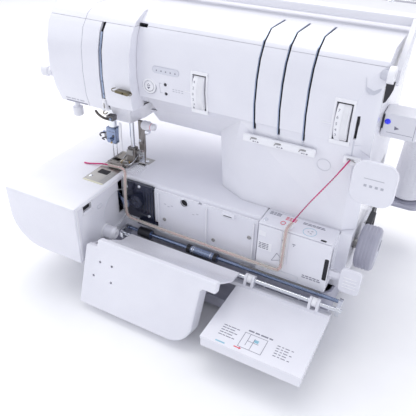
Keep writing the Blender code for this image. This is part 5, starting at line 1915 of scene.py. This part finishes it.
@dataclass
class RightBlock:
    """The labels, marks and screws on the block's front and on the threading panel."""

    front: float = 80.0

    def build(self) -> None:
        """Build the front's marks, then the panel's."""
        self._front()
        self._panel()
        self._lever()

    def _plate(self, piece: Piece, low: Flat, high: Flat, depth: float = 0.12) -> Piece:
        """Lay a thin plate on the block's front."""
        outline = [low, (high[0], low[1]), high, (low[0], high[1])]
        return piece.prism(outline, "y", self.front - depth, self.front + 0.1)

    def _front(self) -> None:
        """Build the front's label box, triangle and small marks, and grey lines that paint the shade
        along a recess and a groove.
        """
        label = self._plate(Piece("front_label"), (277.0 + 6.0, -34.0), (299.0, -23.5), 0.25)
        label.done("frame", RIM_WHITE, WHITE_SLOT, bevel=0.1)
        patch = self._plate(Piece("front_patch"), (283.4, -16.0), (291.5, -10.0), 0.3)
        patch.done("frame", RIM_WHITE, WHITE_SLOT, bevel=0.1)
        marks = Piece("front_marks")
        bars(
            marks,
            (284.4, -33.0),
            (298.2, -24.4),
            4,
            (3.0, 4.4, 2.2),
            "y",
            (self.front - 0.34, self.front - 0.2),
        )
        for x, z in ((310.5, -13.7), (322.8, -14.8)):
            marks.prism(
                [(x - 1.6, z - 0.5), (x + 1.6, z - 0.5), (x + 1.6, z + 0.5), (x - 1.6, z + 0.5)],
                "y",
                self.front - 0.12,
                self.front + 0.1,
            )
            marks.prism(
                [(x - 0.5, z - 2.6), (x + 0.5, z - 2.6), (x + 0.5, z - 1.2), (x - 0.5, z - 1.2)],
                "y",
                self.front - 0.12,
                self.front + 0.1,
            )
        bars(
            marks,
            (336.0, -54.0),
            (356.6, -49.0),
            2,
            (2.6, 3.8),
            "y",
            (self.front - 0.12, self.front + 0.1),
        )
        marks.done("frame", INK_GREY, INK_SLOT, bevel=0)
        triangle = Piece("front_triangle")
        corners = [(305.7, -32.9), (300.4, -44.8), (312.8, -39.7)]
        for a, b in zip(corners, corners[1:] + corners[:1]):
            triangle.sweep(
                [Vector((a[0], self.front, a[1])), Vector((b[0], self.front, b[1]))], 0.3, 6
            )
        triangle.done("frame", INK_GREY, INK_SLOT, bevel=0)
        # A grey line round the recess paints the shade along its edge.
        recess = Piece("front_recess")
        outline = rounded((283.6, -62.0), (332.0, -55.0), 2.0, 4)
        loop = [Vector((x, self.front, z)) for x, z in [*outline, outline[0]]]
        recess.sweep(loop, 0.35, 6)
        recess.done("frame", BAND_GREY, WHITE_SLOT, bevel=0)
        # Two grey lines paint the shade along the edges of the tube's groove.
        groove = Piece("tube_groove")
        for x in (PORT_X - 3.6, PORT_X + 4.8):
            groove.sweep([Vector((x, self.front, -3.0)), Vector((x, self.front, -44.0))], 0.35, 6)
        groove.done("frame", BAND_GREY, WHITE_SLOT, bevel=0)

    def _panel(self) -> None:
        """Build the panel's ring, screw, prints, and the painted shade in its notch."""
        ring = Piece("panel_teal_ring").ring("z", (335.0, 88.9), 7.2, 6.7, -0.05, 0.12)
        ring.done("frame", INK_TEAL, INK_SLOT, bevel=0)
        red = Piece("panel_red_print")
        bars(red, (305.0, 97.2), (320.0, 103.8), 3, (3.4, 2.2, 4.6), "z", (-0.05, 0.12))
        loop = [
            Vector((305.2 + 2.4 * math.cos(a), 90.6 + 3.0 * math.sin(a), 0.02))
            for a in (math.tau * i / 24 for i in range(25))
        ]
        red.sweep(loop, 0.4, 6)
        red.done("frame", INK_RED, INK_SLOT, bevel=0)
        grey = Piece("panel_grey_print")
        bars(grey, (286.0, 99.6), (303.0, 105.6), 3, (4.0, 2.4, 5.0), "z", (-0.05, 0.12))
        bars(grey, (324.0, 98.8), (348.2, 103.0), 2, (5.0, 3.0, 4.0), "z", (-0.05, 0.12))
        for x, y in ((332.6, 88.4), (336.0, 90.6), (335.6, 86.4)):
            grey.block((x, y, -0.05), (x + 2.0, y + 0.8, 0.12))
        grey.done("frame", INK_GREY, INK_SLOT, bevel=0)
        fixing = Piece("panel_screw")
        screw(fixing, "z", (286.8, 87.6), 2.6, -0.1, 0.9)
        fixing.done("frame", CHROME, "chrome", bevel=0.1)
        port = Piece("panel_port_rim").ring("z", (PORT_X, 88.0), 4.6, 2.9, -0.1, 1.0)
        port.done("frame", RIM_WHITE, WHITE_SLOT, bevel=0.2)
        # A near black plate paints the shade in the panel's notch.
        notch = Piece("panel_notch").prism(
            rounded((349.0, 80.2), (355.0, 83.0), 1.0, 3), "z", -0.1, 0.05
        )
        notch.done("frame", PAINTED_SHADE_INSIDE, INK_SLOT, bevel=0)

    def _lever(self) -> None:
        """Build the painted shade in the gap round the selector lever's bar, and the marks beside it.
        """
        # A near black plate paints the shade in the gap round the selector lever's bar.
        gap = Piece("selector_gap").prism(
            rounded((357.0, -48.0), (361.4, -20.0), 1.4, 4),
            "y",
            self.front - 0.08,
            self.front + 0.2,
        )
        gap.done("frame", PAINTED_SHADE_INSIDE, INK_SLOT, bevel=0)
        grip = Piece("selector_grip")
        for i in range(4):
            z = -50.0 + 4.0 * i
            grip.prism(rounded((378.0, z), (392.0, z + 1.2), 0.5, 2), "y", 82.4, 83.4)
        grip.done("selector", RIM_WHITE, WHITE_SLOT, bevel=0.2)


PORT_X = 312.7


@dataclass
class LooperCover:
    """The threading chart and the ribs of the folded-down looper cover."""

    def _level(self, y: float) -> float:
        """Return the height of the chart's face at a depth."""
        return -79.5 + 0.0175 * (71.07 - y)

    def _bar(self, piece: Piece, low: Flat, high: Flat) -> None:
        """Lay one thin printed bar on the chart's face."""
        rings = []
        for x in (low[0], high[0]):
            near, far = self._level(low[1]), self._level(high[1])
            rings.append([(x, low[1], near - 0.1), (x, high[1], far - 0.1), (x, high[1],
                far + 0.09), (x, low[1], near + 0.09)])
        piece.rings(rings)

    def build(self) -> None:
        """Build the chart's prints and the cover's ribs."""
        ink, red, teal = Piece("chart_print"), Piece("chart_red_print"), Piece("chart_teal_print")
        for near, far in ((310.0, 316.0), (317.4, 322.0), (323.4, 331.0), (332.2, 336.0)):
            self._bar(ink, (near, 4.6), (far, 6.4))
        for row in range(5):
            y = 0.6 - 3.4 * row
            for k, width in enumerate((4.0, 2.6, 5.4, 3.0)):
                near = 284.6 + sum((4.0, 2.6, 5.4, 3.0)[:k]) + 0.8 * k
                if near + width < 303.6 - 3.0 * (row % 2):
                    self._bar(ink, (near, y), (near + width, y + 1.0))
                    self._bar(ink, (near + 58.0, y), (near + 58.0 + width * 0.8, y + 1.0))
        for x, low, high in (
            (308.0, -18.0, 1.5), (314.0, -14.0, 1.5), (320.0, -18.0, -2.0), (332.0, -18.0, 1.5)
        ):
            self._bar(ink, (x, low), (x + 0.5, high))
        for low, high in (
            ((308.0, -18.4), (332.5, -17.9)),
            ((308.0, 1.5), (332.5, 2.0)),
            ((314.0, -8.0), (326.0, -7.5)),
        ):
            self._bar(ink, low, high)
        self._bar(red, (305.0, -20.8), (310.6, -19.6))
        for step in range(5):
            self._bar(
                red,
                (310.6 + 0.4 * step, -21.8 + 0.32 * step),
                (311.0 + 0.4 * step, -18.6 - 0.32 * step),
            )
        self._bar(teal, (320.6, -6.6), (325.0, -3.0))
        self._bar(teal, (286.0, -22.6), (296.0, -21.0))
        ink.done("cover", INK_GREY, INK_SLOT, bevel=0)
        red.done("cover", INK_RED, INK_SLOT, bevel=0)
        teal.done("cover", INK_TEAL, INK_SLOT, bevel=0)
        ribs = Piece("cover_hinge_ribs")
        for x in (267.0, 341.0):
            for side in (0.0, 15.2):
                ribs.block((x + side, 46.0, -76.4), (x + side + 0.9, 58.5, -73.0))
        opened(ribs).done("cover", SATIN_WHITE, WHITE_SLOT, bevel=0.2)


# ---------------------------------------------------------------- right side, rear and threads


@dataclass
class RightSide:
    """The hand wheel's bands, the mains inlet's rim and the vents of the right side.

    Attributes:
        wheel: The hand wheel's axis (y, z).
        side: Where the right side is.
    """

    wheel: Flat = (128.0, -25.0)
    side: float = 375.0

    def build(self) -> None:
        """Build the right side's details."""
        bands = Piece("hand_wheel_bands")
        for place in (383.2, 386.6, 390.0, 393.4):
            bands.ring("x", self.wheel, 24.5, 23.6, place, place + 1.5)
        bands.done("drive_shaft", GREY_SHELL, "grey_shell", bevel=0.15)
        cap = Piece("hand_wheel_cap")
        profile = [
            (14.6, 399.9),
            (14.2, 400.8),
            (9.0, 401.3),
            (8.4, 400.9),
            (4.0, 400.9),
            (3.4, 401.2),
            (0.6, 401.3),
        ]
        cap.turned("x", self.wheel, profile, 40)
        cap.done("drive_shaft", BAND_GREY, "grey_shell", bevel=0.2)
        arrow = Piece("hand_wheel_arrow")
        turns = [math.radians(150 - 12 * i) for i in range(9)]
        arrow.sweep(
            [Vector((401.25, self.wheel[0] + 11.0 * math.cos(a), self.wheel[1] + 11.0 * math.sin(a)))
                for a in turns],
            0.45,
            6,
        )
        arrow.done("drive_shaft", INK_GREY, INK_SLOT, bevel=0)
        # Near black slots paint the shade inside the side vents.
        vents = Piece("side_vents")
        for i in range(7):
            y = 176.0 + 6.4 * i
            vents.prism(
                rounded((y, 16.0), (y + 2.4, 44.0), 1.15, 4), "x", self.side - 0.3, self.side + 0.06
            )
        vents.done("frame", PAINTED_SHADE_INSIDE, INK_SLOT, bevel=0)
        rim = Piece("mains_frame")
        for low, high in (
            ((171.0, -57.0), (205.0, -54.6)),
            ((171.0, -25.6), (205.0, -23.0)),
            ((171.0, -57.0), (173.6, -23.0)),
            ((202.6, -57.0), (205.0, -23.0)),
        ):
            rim.prism(rounded(low, high, 0.8, 3), "x", self.side - 0.2, self.side + 1.6)
        rim.done("frame", SATIN_WHITE, WHITE_SLOT, bevel=0.2)
        marks = Piece("rocker_marks")
        marks.block((self.side + 4.2, 206.6, -41.0), (self.side + 4.6, 207.2, -39.0))
        plate = Piece("side_label")
        plate.prism(
            rounded((214.0, -18.0), (244.0, -6.0), 1.0, 3), "x", self.side - 0.1, self.side + 0.15
        )
        plate.done("frame", BAND_GREY, WHITE_SLOT, bevel=0)
        bars(
            marks,
            (216.0, -17.0),
            (243.0, -7.0),
            3,
            (4.0, 2.6, 6.0),
            "x",
            (self.side + 0.1, self.side + 0.22),
        )
        marks.done("frame", INK_GREY, INK_SLOT, bevel=0)
        seam = Piece("side_seam").block(
            (self.side - 0.2, 104.0, -36.0), (self.side + 0.05, 260.0, -35.6)
        )
        seam.done("frame", SEAM_GREY, WHITE_SLOT, bevel=0)
        ring = Piece("air_lever_hub").ring("x", (133.0, 64.0), 6.6, 4.2, 385.1, 386.4)
        ring.turned(
            "x", (133.0, 64.0), [(3.8, 385.0), (3.8, 386.0), (1.2, 386.4), (0.4, 386.4)], 24
        )
        ring.done("air_lever_arm", RIM_WHITE, "white_matte", bevel=0.2)
        print_piece = Piece("air_lever_marks")
        for i in range(4):
            print_piece.block((378.0 + 5.0 * i, 78.86, 74.0), (380.6 + 5.0 * i, 79.05, 76.4))
        print_piece.block((377.0, 78.86, 82.0), (395.0, 79.05, 82.6))
        print_piece.done("air_lever_arm", INK_PALE, INK_SLOT, bevel=0)


@dataclass
class LeftSide:
    """The seam, the screws and the lifter's hub of the left side.

    Attributes:
        side: Where the head's left side is.
    """

    side: float = 25.0

    def build(self) -> None:
        """Build the left side's details."""
        hub = Piece("lifter_hub").ring("x", (112.0, 112.0), 6.0, 4.3, 22.2, 25.2)
        hub.done("frame", BAND_GREY, WHITE_SLOT, bevel=0.2)
        cap = Piece("lifter_cap").turned(
            "x", (112.0, 112.0), [(3.6, 12.2), (3.6, 11.2), (2.4, 10.6), (0.4, 10.5)], 24
        )
        cap.done("lifter", SATIN_WHITE, "white_matte", bevel=0.1)
        screws = Piece("left_screws")
        for y, z in ((150.0, 92.0), (150.0, 160.0)):
            screw(screws, "x", (y, z), 3.0, self.side + 0.2, self.side - 0.9)
        for y, z in ((120.0, -20.0), (240.0, -20.0)):
            screw(screws, "x", (y, z), 3.4, 0.2, -0.0)
        screws.done("frame", STEEL, "steel", bevel=0.1)
        lines = Piece("left_seams")
        lines.prism(
            [(176.0, 92.0), (176.4, 92.0), (176.4, 174.0), (176.0, 174.0)],
            "x",
            self.side - 0.05,
            self.side + 0.2,
        )
        lines.prism([(4.0, -36.4), (258.0, -36.4), (258.0, -36.0), (4.0, -36.0)], "x", 0.95, 1.05)
        lines.done("frame", SEAM_GREY, WHITE_SLOT, bevel=0)


@dataclass
class Rear:
    """The vents, the screws and the label of the back, and the caps of the spool stand.

    Attributes:
        back: Where the arm's back is.
        bed_back: Where the bed's back is.
        pins: Where the spool pins stand across the machine.
        pin_y: Where they stand along it.
    """

    back: float = 232.0
    bed_back: float = 262.0
    pins: tuple[float, ...] = (84.0, 148.0, 272.0, 336.0, 404.0)
    pin_y: float = 290.0

    def build(self) -> None:
        """Build the back's and the stand's details."""
        # Near black slots paint the shade inside the vents of the arm's back and the bed's back.
        vents = Piece("rear_vents")
        for i in range(9):
            z = 82.0 + 8.0 * i
            vents.prism(
                rounded((276.0, z), (346.0, z + 3.0), 1.4, 4),
                "y",
                self.back - 0.3,
                self.back + 0.06,
            )
        for i in range(6):
            vents.prism(
                rounded((294.0 + 10.0 * i, -30.0), (297.0 + 10.0 * i, -8.0), 1.4, 4),
                "y",
                self.bed_back - 0.3,
                self.bed_back + 0.06,
            )
        vents.done("frame", PAINTED_SHADE_INSIDE, INK_SLOT, bevel=0)
        screws = Piece("rear_screws")
        for x, z in (
            (40.0, 96.0), (120.0, 80.0), (250.0, 74.0), (364.0, 74.0), (40.0, 160.0), (364.0, 160.0)
        ):
            screw(screws, "y", (x, z), 3.2, self.back - 0.2, self.back + 1.0)
        for x in (24.0, 140.0, 276.0 + 12.0, 362.0):
            screw(screws, "y", (x, -10.0), 3.2, self.bed_back - 0.2, self.bed_back + 1.0)
        screws.done("frame", STEEL, "steel", bevel=0.1)
        plate = Piece("rear_label").prism(
            rounded((168.0, 100.0), (226.0, 132.0), 1.6, 4), "y", self.back - 0.1, self.back + 0.25
        )
        plate.done("frame", BAND_GREY, WHITE_SLOT, bevel=0.1)
        print_piece = Piece("rear_print")
        bars(
            print_piece,
            (172.0, 103.0),
            (222.0, 129.0),
            5,
            (7.0, 4.0, 10.0, 5.0),
            "y",
            (self.back + 0.2, self.back + 0.34),
        )
        print_piece.done("frame", INK_GREY, INK_SLOT, bevel=0)
        seam = Piece("rear_seams").block(
            (24.0, self.back - 0.2, 150.0), (374.0, self.back + 0.05, 150.4)
        )
        seam.block((24.0, self.back - 0.2, 78.4), (130.0, self.back + 0.05, 78.8))
        seam.done("frame", SEAM_GREY, WHITE_SLOT, bevel=0)
        self._stand()

    def _stand(self) -> None:
        """Build the cone holders, the rings of the telescopic rail and the rail's wire eyes."""
        holders = Piece("cone_holders")
        for x in self.pins:
            if x < 400.0:
                for k in range(3):
                    turn = math.radians(90 + 120 * k)
                    reach = (x + 10.5 * math.cos(turn), self.pin_y + 10.5 * math.sin(turn))
                    side = (0.8 * math.sin(turn), -0.8 * math.cos(turn))
                    low, high = -43.8, -16.0
                    blade = [
                        (x + side[0], self.pin_y + side[1]),
                        (reach[0] + side[0], reach[1] + side[1]),
                        (reach[0] - side[0], reach[1] - side[1]),
                        (x - side[0], self.pin_y - side[1]),
                    ]
                    top = [(x + (a - x) * 0.45, self.pin_y + (b - self.pin_y) * 0.45, high)
                        for a, b in blade]
                    holders.rings([[(a, b, low) for a, b in blade], top])
        holders.done("frame", GREY_SHELL, "grey_shell", bevel=0.2)
        discs = Piece("stand_discs")
        for x in self.pins:
            profile = [
                (19.0, -46.1),
                (19.4, -45.6),
                (19.4, -45.0),
                (17.6, -44.4),
                (12.0, -44.2),
                (8.4, -44.0),
            ]
            discs.turned("z", (x, self.pin_y), profile, 40)
        discs.done("frame", GREY_SHELL, "grey_shell", bevel=0.2)
        pole = Piece("pole_rings").ring("z", (210.0, self.pin_y), 6.0, 4.9, 143.0, 150.0)
        pole.ring("z", (210.0, self.pin_y), 8.0, 4.9, -46.1, -38.0)
        pole.done("frame", BLACK_PLASTIC, "antenna_metal", bevel=0.3)
        eyes = Piece("rail_eyes")
        for x in self.pins:
            loop = [
                Vector((x - 3.6 + 3.6 * math.cos(a) + 3.6, self.pin_y - 7.4 + 3.6 * math.sin(a), 190.4))
                    for a in (
                    math.radians(100 + 20 * i) for i in range(18)
                )
            ]
            eyes.sweep(loop, 0.7, 8)
            eyes.ring("z", (x, self.pin_y), 2.6, 1.7, 188.6, 192.0)
        eyes.done("antenna", CHROME, "chrome", bevel=0)
        caps = Piece("rail_caps")
        for x in (72.6, 411.4):
            caps.block((x, self.pin_y - 4.6, 188.4), (x + 4.0, self.pin_y + 4.6, 192.0))
        caps.done("antenna", BLACK_PLASTIC, "antenna_metal", bevel=0.4)


@dataclass
class Threads:
    """The twisted thread in its clear tube, the thread's loose tail, and the wound cone.

    Attributes:
        port: Where the tube leaves the panel.
        depth: How far back the tube hangs.
        outer: The tube's outer radius.
        inner: Its bore.
        thread: The thread's radius.
    """

    port: Flat = (312.7, 88.0)
    depth: float = 76.0
    outer: float = 2.2
    inner: float = 1.75
    thread: float = 0.95

    def _places(self) -> list[Place]:
        """Return the places that the tube runs through."""
        x, y, d = self.port[0], self.port[1], self.depth
        return [
            (x + 3.4, y - 1.0, 7.6),
            (x + 2.0, y - 2.6, 5.2),
            (x + 1.2, y - 6.0, 4.0),
            (x + 1.0, d + 2.4, 2.8),
            (x + 1.0, d, -2.0),
            (x + 0.6, d, -24.0),
            (x + 0.2, d, -44.0),
            (x - 1.8, d, -49.6),
            (x - 7.0, d, -52.0),
            (270.0, d, -52.0),
            (220.0, d, -51.5),
            (170.0, d, -51.0),
            (130.0, d, -50.0),
            (119.0, d, -49.2),
            (114.0, d, -46.0),
            (112.6, d, -40.0),
            (112.6, d, -20.0),
            (112.6, d + 2.0, 0.0),
            (111.0, d + 5.0, 7.0),
            (105.0, d + 11.0, 8.0),
            (96.0, d + 17.0, 5.4),
            (86.0, d + 19.0, 3.4),
            (76.0, d + 19.0, 2.8),
        ]

    def build(self) -> None:
        """Build the tube, the thread and the cone."""
        route = smooth(self._places(), 12)
        tube = Piece("clear_air_tube").sweep_pipe(route, self.outer, self.inner, 20)
        tube.done("frame", TUBE_CREAM, "tube_plastic", ("looper_air_tube",), bevel=0)
        tail = [(68.0, 94.0, 2.6), (58.0, 91.0, 1.7), (50.0, 88.6, 1.1), (44.4, 87.8, 1.0)]
        guide = [(360.6, 86.6, 91.6), (349.0, 86.8, 69.0), (330.0, 87.0, 35.0)]
        full = smooth([*guide, *self._places(), *tail], 14)
        thread = Piece("twisted_thread").sweep(full, self.thread, 12, 3, 1.4)
        thread.done("frame", PINK_THREAD, "pink_thread", ("looper_thread",), bevel=0)
        self._cone()

    def _cone(self) -> None:
        """Wind the crossed thread round the cone, and give the cone its inner tube."""
        x, y = 404.0, 290.0
        base, height = -41.5, 112.0
        wound = Piece("wound_thread")
        for direction in (1, -1):
            route = []
            steps = 1500
            for i in range(steps + 1):
                share = i / steps
                swing = abs((share * 9.0) % 2.0 - 1.0)
                level = base + 4.0 + (height - 6.0) * swing
                radius = 21.0 - 5.0 * (level - base) / height + 0.12
                angle = direction * 2 * math.pi * 46.0 * share
                route.append(
                    Vector((x + radius * math.cos(angle), y + radius * math.sin(angle), level))
                )
            wound.sweep(route, 0.26, 4)
        wound.done("cone", WHITE_THREAD, "white_thread", bevel=0)
        core = Piece("cone_core").ring("z", (x, y), 10.2, 8.6, base + 1.0, base + height + 4.6)
        core.done("cone", GREY_SHELL, "grey_shell", bevel=0.2)


PARTS = (
    Studio,
    Casework,
    HeadDetails,
    ArmFront,
    Dials,
    ThreadPaths,
    RightShoulder,
    NeedleArea,
    LooperBay,
    LeftBlock,
    RightBlock,
    LooperCover,
    RightSide,
    LeftSide,
    Rear,
    Threads,
)


def main() -> None:
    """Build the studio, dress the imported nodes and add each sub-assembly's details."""
    logging.basicConfig(level=logging.INFO, format="%(message)s")
    for part in PARTS:
        part().build()


if __name__ == "__main__":
    main()
